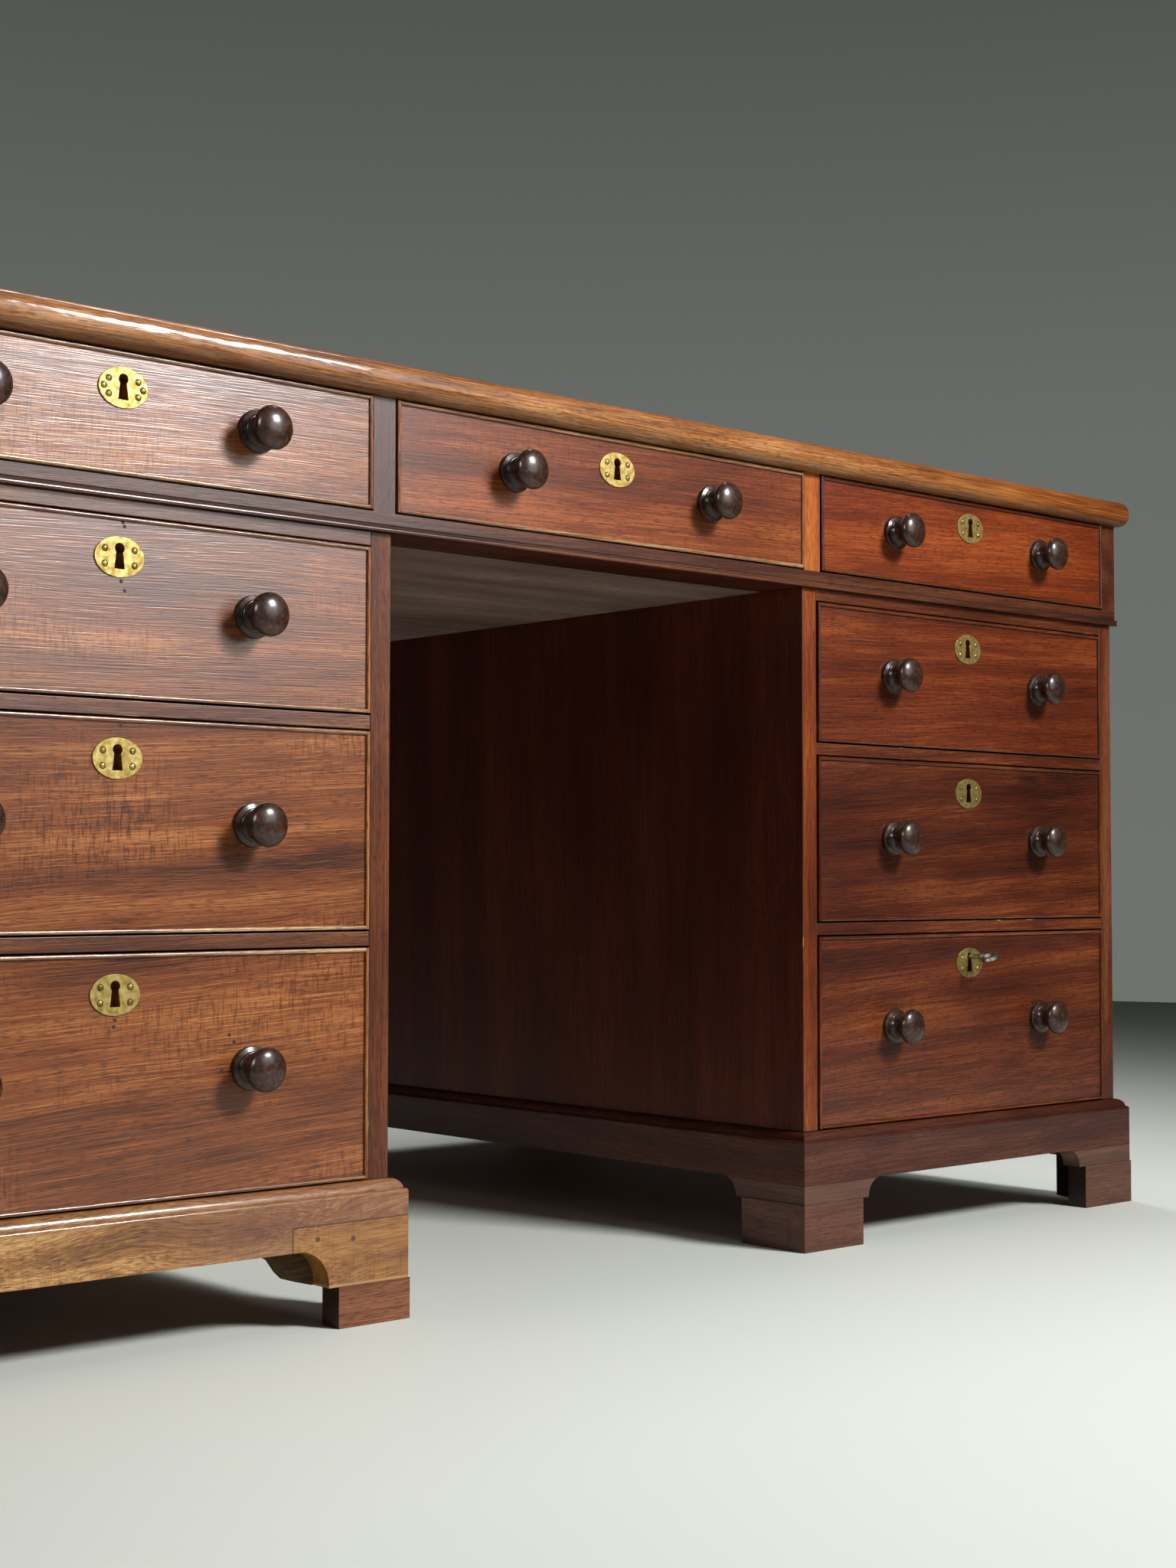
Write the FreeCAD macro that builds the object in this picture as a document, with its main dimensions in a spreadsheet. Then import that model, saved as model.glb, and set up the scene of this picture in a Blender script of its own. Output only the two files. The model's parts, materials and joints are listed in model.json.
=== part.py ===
import FreeCAD, Part
import os
from math import sqrt
from types import SimpleNamespace

import Sketcher

# Partners desk: a top with frieze drawers on two pedestals of drawers, with cupboards on the far side.
# Millimetres. X runs along the desk, the drawer side faces -Y, Z is up, the origin is on the floor
# under the middle of the desk.

Vector = FreeCAD.Vector
Rotation = FreeCAD.Rotation
Z_AXIS = Vector(0, 0, 1)
AHEAD = Rotation()
BEHIND = Rotation(Z_AXIS, 180)
OUT_OF_FACE = Rotation(Vector(1, 0, 0), 90)
ALONG_X = Rotation(Vector(0, 1, 0), 90)

SIZES = {
    # pedestals
    "pedestal_width": 505,
    "pedestal_depth": 950,
    "kneehole_width": 496,
    "side_thickness": 20,
    "rail_height": 12,
    "top_drawer_height": 139,
    "middle_drawer_height": 164,
    "bottom_drawer_height": 189,
    "board_thickness": 12,
    "shelf_thickness": 14,
    "shelf_height": 270,
    "shelf_setback": 4,
    # plinths and their feet
    "plinth_height": 113,
    "plinth_projection": 12,
    "plinth_seat": 10,
    "plinth_rail_height": 49,
    "ovolo_reach": 9,
    "ovolo_height": 8,
    "ledge_width": 1,
    "shoulder_height": 3,
    "foot_projection": 1,
    "foot_thickness": 23,
    "left_foot_height": 33,
    "left_foot_width": 70,
    "left_bracket_reach": 25,
    "right_foot_height": 45,
    "right_foot_width": 84,
    "right_bracket_reach": 18,
    "bracket_overhang": 8,
    "backing_reach": 54,
    "backing_lap": 15,
    "backing_rise": 24,
    "backing_thickness": 20,
    # top section
    "frieze_proud": 4,
    "frieze_rail_height": 16,
    "frieze_rail_depth": 60,
    "frieze_drawer_height": 96,
    "frieze_end_thickness": 24,
    "muntin_width": 22,
    "moulding_height": 6,
    "moulding_proud": 4,
    "slab_thickness": 27,
    "slab_overhang": 16,
    "slab_nose_radius": 12,
    "slab_corner_radius": 14,
    "leather_border": 75,
    "leather_thickness": 1.6,
    # drawers
    "drawer_gap": 1.5,
    "run_gap": 0.3,
    "front_thickness": 21,
    "bead_thickness": 3,
    "bead_proud": 2.5,
    "bead_nose": 0.8,
    "lining_thickness": 9,
    "lining_drop": 8,
    "bottom_thickness": 6,
    "bottom_raise": 8,
    "drawer_length": 540,
    "frieze_drawer_length": 520,
    "drawer_back_gap": 14,
    # turned knobs
    "knob_pitch": 238,
    "knob_lift": 2,
    "knob_flange_radius": 17.5,
    "knob_flange_thickness": 4.2,
    "knob_neck_radius": 9.5,
    "knob_neck_height": 9.5,
    "knob_rim_radius": 17.5,
    "knob_rim_height": 22,
    "knob_crown_radius": 12.5,
    "knob_crown_height": 28,
    "knob_height": 31,
    # locks
    "escutcheon_width": 42,
    "escutcheon_height": 31,
    "escutcheon_thickness": 1.2,
    "escutcheon_drop": 6.5,
    "keyhole_head_radius": 4,
    "keyhole_length": 15.6,
    "keyhole_neck": 5.4,
    "keyhole_foot": 8.6,
    "lock_drop": 25.5,
    "frieze_lock_drop": 22.5,
    "lock_width": 50,
    "lock_depth": 12,
    "lock_below": 20,
    "lock_clearance": 0.2,
    "lock_wall": 1.5,
    "bolt_width": 18,
    "bolt_thickness": 4,
    "bolt_below": 13,
    "bolt_clearance": 0.5,
    "talon_radius": 4,
    "mortise_depth": 8,
    # key
    "key_shank_radius": 2.5,
    "key_stem": 15,
    "key_collar_radius": 3.8,
    "key_collar_length": 2.5,
    "key_bow_radius": 10,
    "key_bow_rim": 3.6,
    "key_bow_thickness": 3.4,
    "key_bit_reach": 11,
    "key_bit_thickness": 3,
    "key_bit_depth": 3,
    # cupboard doors
    "door_gap": 1.5,
    "door_thickness": 22,
    "door_stile": 62,
    "door_rail": 66,
    "panel_thickness": 8,
    "panel_recess": 9,
    "field_rise": 5,
    "field_inset": 38,
    "panel_margin": 1,
    "door_lock_height": 290,
    "hinge_height": 60,
    "hinge_inset": 90,
    "hinge_leaf": 1.2,
    "hinge_leaf_gap": 0.2,
    "hinge_reach": 17,
    "knuckle_radius": 4,
    "knuckle_gap": 0.3,
    "pin_radius": 1.8,
    "pin_clearance": 0.08,
}

# Turn of the key from upright, as it was left in the lock, in degrees
KEY_TURN = 70
# Radius of a round bracket or moulding as a share of its chord
QUARTER_ROUND = 0.72
# Broken edge of the old bracket, as shares of its reach and of the way up to the rail
ROUGH_EDGE = ((0.2, 0), (0.5, 0.14), (0.62, 0.33), (0.76, 0.66), (1, 0.9))

doc = FreeCAD.newDocument("partners_desk")
sheet = doc.addObject("Spreadsheet::Sheet", "Dims")
nodes = []


class Size:
    """A length with its number and the sheet expression that gives it."""

    def __init__(self, value, text):
        self.value = value
        self.text = text

    def __add__(self, other):
        other = as_size(other)
        return Size(self.value + other.value, f"({self.text} + {other.text})")

    def __sub__(self, other):
        other = as_size(other)
        return Size(self.value - other.value, f"({self.text} - {other.text})")

    def __mul__(self, other):
        other = as_size(other)
        return Size(self.value * other.value, f"({self.text} * {other.text})")

    def __truediv__(self, other):
        other = as_size(other)
        return Size(self.value / other.value, f"({self.text} / {other.text})")

    def __radd__(self, other):
        return as_size(other) + self

    def __rsub__(self, other):
        return as_size(other) - self

    def __rmul__(self, other):
        return as_size(other) * self

    def __neg__(self):
        return as_size(0) - self


def as_size(number):
    return number if isinstance(number, Size) else Size(float(number), f"({float(number)})")


def root(size):
    return Size(sqrt(size.value), f"sqrt({size.text})")


def chord(across, along):
    return root(across * across + along * along)


def round_by_rise(width, rise):
    """Radius of the arc that spans a width and rises by a height."""
    return (width * width / 4 + rise * rise) / (2 * rise)


def in_order(one, other):
    one, other = as_size(one), as_size(other)
    return (one, other) if one.value <= other.value else (other, one)


def centred(width):
    return (-width / 2, width / 2)


def fill_sheet():
    for row, (alias, number) in enumerate(SIZES.items(), start=1):
        sheet.set(f"A{row}", alias.replace("_", " "))
        sheet.set(f"B{row}", str(number))
        sheet.setAlias(f"B{row}", alias)
    doc.recompute()
    sizes = {alias: Size(float(number), f"Dims.{alias}") for alias, number in SIZES.items()}
    return SimpleNamespace(**sizes)


d = fill_sheet()


def bind(thing, **sizes):
    for name, size in sizes.items():
        thing.setExpression(name, as_size(size).text)
    return thing


def place(thing, at, turn=AHEAD):
    thing.Placement = FreeCAD.Placement(Vector(*(as_size(size).value for size in at)), turn)
    for axis, size in zip("xyz", at):
        thing.setExpression(f"Placement.Base.{axis}", as_size(size).text)
    return thing


def box(name, x, y, z):
    piece = doc.addObject("Part::Box", name)
    bind(piece, Length=x[1] - x[0], Width=y[1] - y[0], Height=z[1] - z[0])
    return place(piece, (x[0], y[0], z[0]))


def cylinder(name, radius, height, at, turn=AHEAD):
    piece = doc.addObject("Part::Cylinder", name)
    bind(piece, Radius=radius, Height=height)
    return place(piece, at, turn)


def copy_of(name, master, at, turn=AHEAD):
    piece = doc.addObject("App::Link", name)
    piece.LinkedObject = master
    return place(piece, at, turn)


def fuse(name, *pieces):
    whole = doc.addObject("Part::MultiFuse", name)
    whole.Shapes = list(pieces)
    return whole


def cut(name, base, *tools):
    remainder = doc.addObject("Part::Cut", name)
    remainder.Base = base
    remainder.Tool = tools[0] if len(tools) == 1 else fuse(f"{name}_tools", *tools)
    return remainder


def node(label, *pieces, at=(0, 0, 0), turn=AHEAD):
    """A named sub-part made of separate solids."""
    group = doc.addObject("Part::Compound", label)
    group.Links = list(pieces)
    group.Label = label
    nodes.append(place(group, at, turn))
    return group


def arc_middle(start, end, radius, side, major):
    across = end - start
    half = across.Length / 2
    depth = sqrt(max(radius * radius - half * half, 0))
    rise = radius + depth if major else radius - depth
    normal = Vector(-across.y, across.x, 0) / across.Length
    return (start + end) / 2 + normal * (rise * side)


def outline(body, name, plane_role, start, moves):
    """Closed sketch. A move is (x, y) for a line, or (x, y, radius, side, major) for an arc that swells to
    the left (side 1) or the right (side -1) of its way."""
    sketch = body.newObject("Sketcher::SketchObject", name)
    plane = next(feature for feature in body.Origin.OriginFeatures if feature.Role == plane_role)
    sketch.AttachmentSupport = [(plane, "")]
    sketch.MapMode = "FlatFace"
    stops = [start] + [move[:2] for move in moves]
    points = [Vector(as_size(x).value, as_size(y).value, 0) for x, y in stops]
    ends = []
    for index, move in enumerate(moves):
        first, last = points[index], points[index + 1]
        if len(move) == 2:
            sketch.addGeometry(Part.LineSegment(first, last))
        else:
            middle = arc_middle(first, last, move[2].value, move[3], move[4])
            sketch.addGeometry(Part.Arc(first, middle, last))
        forward = (sketch.getPoint(index, 1) - first).Length < (sketch.getPoint(index, 2) - first).Length
        ends.append((1, 2) if forward else (2, 1))
    for index, move in enumerate(moves):
        following = (index + 1) % len(moves)
        sketch.addConstraint(
            Sketcher.Constraint("Coincident", index, ends[index][1], following, ends[following][0]))
        for kind, size in zip(("DistanceX", "DistanceY"), stops[index]):
            number = sketch.addConstraint(
                Sketcher.Constraint(kind, index, ends[index][0], as_size(size).value))
            sketch.setExpression(f"Constraints[{number}]", as_size(size).text)
        if len(move) > 2:
            number = sketch.addConstraint(Sketcher.Constraint("Radius", index, move[2].value))
            sketch.setExpression(f"Constraints[{number}]", move[2].text)
    return sketch


def pad(body, name, sketch, length):
    feature = body.newObject("PartDesign::Pad", name)
    feature.Profile = sketch
    return bind(feature, Length=length)


def pocket_through(body, name, sketch):
    feature = body.newObject("PartDesign::Pocket", name)
    feature.Profile = sketch
    feature.Type = "ThroughAll"
    feature.SideType = "Symmetric"
    return feature


# Levels and reaches that several pieces share
inner_x = d.kneehole_width / 2
pedestal_x = inner_x + d.pedestal_width / 2
outer_x = inner_x + d.pedestal_width
front_y = -d.pedestal_depth / 2
middle_floor = d.plinth_height + d.bottom_drawer_height + d.rail_height
top_floor = middle_floor + d.middle_drawer_height + d.rail_height
pedestal_top = top_floor + d.top_drawer_height + d.rail_height
frieze_floor = pedestal_top + d.frieze_rail_height
slab_bottom = frieze_floor + d.frieze_drawer_height
frieze_width = 2 * (outer_x + d.frieze_proud)
frieze_depth = d.pedestal_depth + 2 * d.frieze_proud
opening_width = d.pedestal_width - 2 * d.side_thickness
cupboard_height = pedestal_top - d.rail_height - d.plinth_height
frieze_divider_y = -frieze_depth / 2 + d.front_thickness + d.frieze_drawer_length + d.drawer_back_gap
rear_drawer_length = (frieze_depth / 2 - d.front_thickness - d.drawer_back_gap
                      - d.board_thickness - frieze_divider_y)


def top_slab():
    """Thick board with a rounded edge and a shallow bed for the writing leather."""
    half_x = frieze_width / 2 + d.slab_overhang
    half_y = frieze_depth / 2 + d.slab_overhang
    radius = d.slab_corner_radius
    body = doc.addObject("PartDesign::Body", "slab_board")
    sketch = outline(body, "slab_outline", "XY_Plane", (-half_x + radius, -half_y), [
        (half_x - radius, -half_y),
        (half_x, -half_y + radius, radius, -1, False),
        (half_x, half_y - radius),
        (half_x - radius, half_y, radius, -1, False),
        (-half_x + radius, half_y),
        (-half_x, half_y - radius, radius, -1, False),
        (-half_x, -half_y + radius),
        (-half_x + radius, -half_y, radius, -1, False),
    ])
    board = pad(body, "slab_thickness_pad", sketch, d.slab_thickness)
    doc.recompute()
    rims = [f"Edge{number}" for number, edge in enumerate(board.Shape.Edges, start=1)
            if edge.BoundBox.ZLength < d.slab_nose_radius.value / 2]
    nose = body.newObject("PartDesign::Fillet", "slab_nose")
    nose.Base = (board, rims)
    bind(nose, Radius=d.slab_nose_radius)
    place(body, (0, 0, slab_bottom))
    bed_x = centred(2 * (half_x - d.leather_border))
    bed_y = centred(2 * (half_y - d.leather_border))
    bed_top = slab_bottom + d.slab_thickness
    bed_z = (bed_top - d.leather_thickness, bed_top)
    node("top_slab", cut("slab_with_bed", body, box("leather_bed", bed_x, bed_y, bed_z)))
    node("writing_leather", box("leather_sheet", bed_x, bed_y, bed_z))


def moulding_strip(name, length):
    """Half-round bead along the foot of the frieze, from its left end, standing out towards -Y."""
    rise = d.moulding_proud / 2
    body = doc.addObject("PartDesign::Body", name)
    sketch = outline(body, f"{name}_section", "YZ_Plane", (0, 0), [
        (0, d.moulding_height),
        (-rise, d.moulding_height),
        (-rise, 0, round_by_rise(d.moulding_height, rise), 1, False),
        (0, 0),
    ])
    pad(body, f"{name}_run", sketch, length)
    return body


def frieze_frame():
    """Bottom boards, rails, ends, partitions and bead of the top section."""
    half_x = frieze_width / 2
    half_y = frieze_depth / 2
    floor_z = (pedestal_top, frieze_floor)
    wall_z = (frieze_floor, slab_bottom)
    rail_y = half_y - d.frieze_rail_depth
    partition_x = inner_x + d.side_thickness / 2
    divider = (frieze_divider_y, frieze_divider_y + d.board_thickness)
    bay = (partition_x + d.muntin_width / 2, half_x - d.frieze_end_thickness)
    pieces = [
        box("frieze_front_rail", centred(frieze_width), (-half_y, -rail_y), floor_z),
        box("frieze_rear_rail", centred(frieze_width), (rail_y, half_y), floor_z),
        box("frieze_floor_boards", centred(frieze_width), (-rail_y, rail_y), floor_z),
        box("frieze_middle_divider", centred(2 * (partition_x - d.muntin_width / 2)), divider, wall_z),
    ]
    for side, sign in (("left", -1), ("right", 1)):
        end_x = in_order(sign * half_x, sign * (half_x - d.frieze_end_thickness))
        post_x = (sign * partition_x - d.muntin_width / 2, sign * partition_x + d.muntin_width / 2)
        bay_x = in_order(sign * bay[0], sign * bay[1])
        pieces.append(box(f"frieze_{side}_end", end_x, centred(frieze_depth), wall_z))
        pieces.append(box(f"frieze_{side}_partition", post_x, centred(frieze_depth), wall_z))
        pieces.append(box(f"frieze_{side}_divider", bay_x, divider, wall_z))
    long_strip = moulding_strip("long_moulding", frieze_width + 2 * d.moulding_proud)
    short_strip = moulding_strip("short_moulding", frieze_depth)
    corner_x = half_x + d.moulding_proud
    pieces += [
        copy_of("front_moulding", long_strip, (-corner_x, -half_y, pedestal_top)),
        copy_of("rear_moulding", long_strip, (corner_x, half_y, pedestal_top), BEHIND),
        copy_of("right_moulding", short_strip, (half_x, -half_y, pedestal_top), Rotation(Z_AXIS, 90)),
        copy_of("left_moulding", short_strip, (-half_x, half_y, pedestal_top), Rotation(Z_AXIS, -90)),
    ]
    node("frieze_frame", *pieces)


def bolt_slot():
    """Front and back of the slot that the keyed drawer's bolt slides in, behind the drawer face."""
    back = d.front_thickness - d.lock_wall
    return (back - d.bolt_thickness - 2 * d.bolt_clearance, back)


def slot_box(name, face_y, z):
    width = d.bolt_width + 2 * d.bolt_clearance
    front, back = bolt_slot()
    return box(name, centred(width), (face_y + front, face_y + back), z)


def pedestal(side, sign):
    """Sides, top, bottom, dust boards, divider and cupboard shelf of one pedestal."""
    half = d.pedestal_width / 2
    inside = centred(opening_width)
    depth = centred(d.pedestal_depth)
    divider_y = front_y + d.front_thickness + d.drawer_length + d.drawer_back_gap
    back_y = divider_y + d.board_thickness
    wall_z = (d.plinth_height, pedestal_top)
    inner_z = (d.plinth_height, pedestal_top - d.rail_height)
    shelf_z = d.plinth_height + d.shelf_height
    shelf_y = -front_y - d.door_thickness - d.shelf_setback
    lower_z = d.plinth_height + d.bottom_drawer_height
    seat_x = centred(d.pedestal_width - 2 * d.plinth_seat)
    seat_y = centred(d.pedestal_depth - 2 * d.plinth_seat)
    lower_rail = box(f"{side}_lower_dust_board", inside, (front_y, divider_y), (lower_z, middle_floor))
    upper_z = (top_floor - d.rail_height, top_floor)
    if sign > 0:
        mortise = slot_box(f"{side}_bolt_mortise", front_y, (lower_z, lower_z + d.mortise_depth))
        lower_rail = cut(f"{side}_mortised_dust_board", lower_rail, mortise)
    node(
        f"pedestal_{side}",
        box(f"{side}_side_a", (-half, -half + d.side_thickness), depth, wall_z),
        box(f"{side}_side_b", (half - d.side_thickness, half), depth, wall_z),
        box(f"{side}_top_board", inside, depth, (pedestal_top - d.rail_height, pedestal_top)),
        box(f"{side}_bottom_board", seat_x, seat_y, (d.plinth_height - d.board_thickness, d.plinth_height)),
        lower_rail,
        box(f"{side}_upper_dust_board", inside, (front_y, divider_y), upper_z),
        box(f"{side}_divider", inside, (divider_y, back_y), inner_z),
        box(f"{side}_shelf", inside, (back_y, shelf_y), (shelf_z, shelf_z + d.shelf_thickness)),
        at=(sign * pedestal_x, 0, 0))


def plinth_board(name, length, foot_height, foot_width, bracket_reach):
    """Moulded board from its left end, with mitred ends and a bracket foot cut at each end."""
    height = d.plinth_height
    reach = d.plinth_projection
    ledge_z = height - d.ovolo_height
    ovolo = chord(d.ovolo_reach, d.ovolo_height) * QUARTER_ROUND
    shoulder_reach = reach - d.ovolo_reach - d.ledge_width
    shoulder = chord(shoulder_reach, d.shoulder_height) * QUARTER_ROUND
    body = doc.addObject("PartDesign::Body", name)
    section = outline(body, f"{name}_section", "YZ_Plane", (d.plinth_seat, foot_height), [
        (d.plinth_seat, height),
        (0, height),
        (-d.ovolo_reach, ledge_z, ovolo, -1, False),
        (-d.ovolo_reach - d.ledge_width, ledge_z),
        (-reach, ledge_z - d.shoulder_height, shoulder, -1, False),
        (-reach, foot_height),
        (d.plinth_seat, foot_height),
    ])
    pad(body, f"{name}_run", section, length)
    foot = foot_width + d.bracket_overhang
    arch_z = height - d.plinth_rail_height
    curve = chord(bracket_reach, arch_z - foot_height) * QUARTER_ROUND
    arch = outline(body, f"{name}_arch", "XZ_Plane", (foot, foot_height), [
        (foot + bracket_reach, arch_z, curve, 1, False),
        (length - foot - bracket_reach, arch_z),
        (length - foot, foot_height, curve, 1, False),
        (foot, foot_height),
    ])
    pocket_through(body, f"{name}_brackets", arch)
    mitre = reach + d.plinth_seat
    near = outline(body, f"{name}_near_mitre", "XY_Plane", (0, -reach), [
        (mitre, d.plinth_seat), (0, d.plinth_seat), (0, -reach)])
    pocket_through(body, f"{name}_near_end", near)
    far = outline(body, f"{name}_far_mitre", "XY_Plane", (length, -reach), [
        (length, d.plinth_seat), (length - mitre, d.plinth_seat), (length, -reach)])
    body.Tip = pocket_through(body, f"{name}_far_end", far)
    return body


def backing_bracket(foot_height):
    """Rough remains of the old bracket behind a mended foot, with the foot's inner end at its origin."""
    arch_z = d.plinth_height - d.plinth_rail_height
    body = doc.addObject("PartDesign::Body", "backing_bracket")
    rough_edge = [(-d.backing_reach * across, foot_height + (arch_z - foot_height) * up)
                  for across, up in ROUGH_EDGE]
    sketch = outline(body, "backing_outline", "XZ_Plane", (d.backing_lap, foot_height), rough_edge + [
        (-d.backing_reach, arch_z + d.backing_rise),
        (d.backing_lap, arch_z + d.backing_rise),
        (d.backing_lap, foot_height),
    ])
    body.Tip = pad(body, "backing_block", sketch, d.backing_thickness)
    return body


def plinth(side, sign, foot_height, foot_width, bracket_reach, mended=False):
    """Mitred frame of moulded boards on four angled feet. A mended one keeps an old bracket at its front."""
    half_x = d.pedestal_width / 2
    half_y = d.pedestal_depth / 2
    reach = d.plinth_projection
    feet = (foot_height, foot_width, bracket_reach)
    short = plinth_board(f"{side}_short_plinth_board", 2 * (half_x + reach), *feet)
    long = plinth_board(f"{side}_long_plinth_board", 2 * (half_y + reach), *feet)
    pieces = [
        copy_of(f"{side}_plinth_front", short, (-half_x - reach, -half_y, 0)),
        copy_of(f"{side}_plinth_rear", short, (half_x + reach, half_y, 0), BEHIND),
        copy_of(f"{side}_plinth_right", long, (half_x, -half_y - reach, 0), Rotation(Z_AXIS, 90)),
        copy_of(f"{side}_plinth_left", long, (-half_x, half_y + reach, 0), Rotation(Z_AXIS, -90)),
    ]
    corner_x = half_x + reach + d.foot_projection
    corner_y = half_y + reach + d.foot_projection
    for across in (-1, 1):
        for along in (-1, 1):
            face_x, end_x = across * corner_x, across * (corner_x - foot_width)
            face_y, end_y = along * corner_y, along * (corner_y - foot_width)
            leg_x = across * (corner_x - d.foot_thickness)
            leg_y = along * (corner_y - d.foot_thickness)
            pieces.append(box(f"{side}_foot_front", in_order(face_x, end_x), in_order(face_y, leg_y),
                              (0, foot_height)))
            pieces.append(box(f"{side}_foot_side", in_order(face_x, leg_x), in_order(leg_y, end_y),
                              (0, foot_height)))
    if mended:
        pieces.append(place(backing_bracket(foot_height), (
            corner_x - foot_width, -half_y + d.plinth_seat + d.backing_thickness, 0)))
    node(f"plinth_{side}", *pieces, at=(sign * pedestal_x, 0, 0))


def turned_knob():
    """Mushroom knob turned about Z: base flange, waisted neck, rim and crown."""
    body = doc.addObject("PartDesign::Body", "turned_knob")
    profile = outline(body, "knob_profile", "XZ_Plane", (0, 0), [
        (d.knob_flange_radius, 0),
        (d.knob_flange_radius, d.knob_flange_thickness),
        (d.knob_neck_radius, d.knob_neck_height),
        (d.knob_rim_radius, d.knob_rim_height),
        (d.knob_crown_radius, d.knob_crown_height),
        (0, d.knob_height),
        (0, 0),
    ])
    turning = body.newObject("PartDesign::Revolution", "knob_turning")
    turning.Profile = profile
    turning.ReferenceAxis = (profile, ["V_Axis"])
    turning.Angle = 360
    return body


def keyhole_tool():
    """Keyhole through a drawer front, round at the key and flared below it."""
    shoulder_z = -root(d.keyhole_head_radius * d.keyhole_head_radius - d.keyhole_neck * d.keyhole_neck / 4)
    body = doc.addObject("PartDesign::Body", "keyhole_tool")
    sketch = outline(body, "keyhole_outline", "XZ_Plane", (-d.keyhole_foot / 2, -d.keyhole_length), [
        (d.keyhole_foot / 2, -d.keyhole_length),
        (d.keyhole_neck / 2, shoulder_z),
        (-d.keyhole_neck / 2, shoulder_z, d.keyhole_head_radius, -1, True),
        (-d.keyhole_foot / 2, -d.keyhole_length),
    ])
    through = pad(body, "keyhole_through", sketch, d.front_thickness + d.escutcheon_thickness)
    through.Reversed = True
    return place(body, (0, -d.escutcheon_thickness, 0))


def escutcheon_plate(keyhole):
    """Oval plate on the drawer face, pierced by the keyhole, with the key's axis at its origin."""
    oval = bind(doc.addObject("Part::Ellipse", "escutcheon_oval"),
                MajorRadius=d.escutcheon_width / 2, MinorRadius=d.escutcheon_height / 2)
    place(oval, (0, 0, -d.escutcheon_drop), OUT_OF_FACE)
    plate = doc.addObject("Part::Extrusion", "escutcheon_blank")
    plate.Base = oval
    plate.DirMode = "Custom"
    plate.Dir = Vector(0, -1, 0)
    plate.Solid = True
    bind(plate, LengthFwd=d.escutcheon_thickness)
    return cut("escutcheon_plate", plate, keyhole)


beads = {}


def cock_bead(length):
    """Strip round a drawer front, upright on Z, with a rounded nose towards -Y."""
    if length.text not in beads:
        name = f"cock_bead_{len(beads) + 1}"
        nose_y = d.bead_nose - d.bead_proud
        body = doc.addObject("PartDesign::Body", name)
        section = outline(body, f"{name}_section", "XY_Plane", (0, d.front_thickness), [
            (0, nose_y),
            (d.bead_thickness, nose_y, round_by_rise(d.bead_thickness, d.bead_nose), -1, False),
            (d.bead_thickness, d.front_thickness),
            (0, d.front_thickness),
        ])
        pad(body, f"{name}_run", section, length)
        beads[length.text] = body
    return beads[length.text]


def drawer_front(name, width, height, key_z, keyed, at, turn):
    """Front board with its cock beads. A front with a lock has a keyhole and a bed for the lock."""
    gap, bead = d.drawer_gap, d.bead_thickness
    half = width / 2 - gap
    field = half - bead
    field_z = (gap + bead, height - gap - bead)
    board = box(f"{name}_board", centred(2 * field), (0, d.front_thickness), field_z)
    if key_z is not None:
        clear = d.lock_clearance
        bed_y = (d.front_thickness - d.lock_depth - clear, d.front_thickness)
        bed_z = (key_z - d.lock_below - clear, field_z[1])
        board = cut(f"{name}_pierced_board", board,
                    box(f"{name}_lock_bed", centred(d.lock_width + 2 * clear), bed_y, bed_z),
                    copy_of(f"{name}_keyhole", keyhole, (0, -d.escutcheon_thickness, key_z)))
    upright = cock_bead(height - 2 * gap)
    level = cock_bead(2 * field)
    top_bead = copy_of(f"{name}_top_bead", level, (-field, 0, height - gap), ALONG_X)
    if keyed:
        slot = slot_box(f"{name}_bead_slot", 0, (height - gap - bead, height - gap))
        top_bead = cut(f"{name}_slotted_bead", top_bead, slot)
    node(f"{name}_front", board, top_bead,
         copy_of(f"{name}_bottom_bead", level, (-field, 0, gap + bead), ALONG_X),
         copy_of(f"{name}_left_bead", upright, (-half, 0, gap)),
         copy_of(f"{name}_right_bead", upright, (field, 0, gap)),
         at=at, turn=turn)


def drawer_box(name, width, height, length, at, turn):
    """Sides, back and bottom of a drawer."""
    half = width / 2 - d.drawer_gap
    inside = half - d.lining_thickness
    front, rear = d.front_thickness, d.front_thickness + length
    top = height - d.drawer_gap - d.lining_drop
    bottom_z = d.run_gap + d.bottom_raise
    bottom_top = bottom_z + d.bottom_thickness
    node(f"{name}_box",
         box(f"{name}_left_lining", (-half, -inside), (front, rear), (d.run_gap, top)),
         box(f"{name}_right_lining", (inside, half), (front, rear), (d.run_gap, top)),
         box(f"{name}_back", (-inside, inside), (rear - d.lining_thickness, rear), (bottom_top, top)),
         box(f"{name}_bottom", (-inside, inside), (front, rear), (bottom_z, bottom_top)),
         at=at, turn=turn)


def drawer_knobs(name, height, at, turn):
    knob_z = height / 2 + d.knob_lift
    node(f"{name}_knobs",
         copy_of(f"{name}_left_knob", knob, (-d.knob_pitch / 2, 0, knob_z), OUT_OF_FACE),
         copy_of(f"{name}_right_knob", knob, (d.knob_pitch / 2, 0, knob_z), OUT_OF_FACE),
         at=at, turn=turn)


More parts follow.
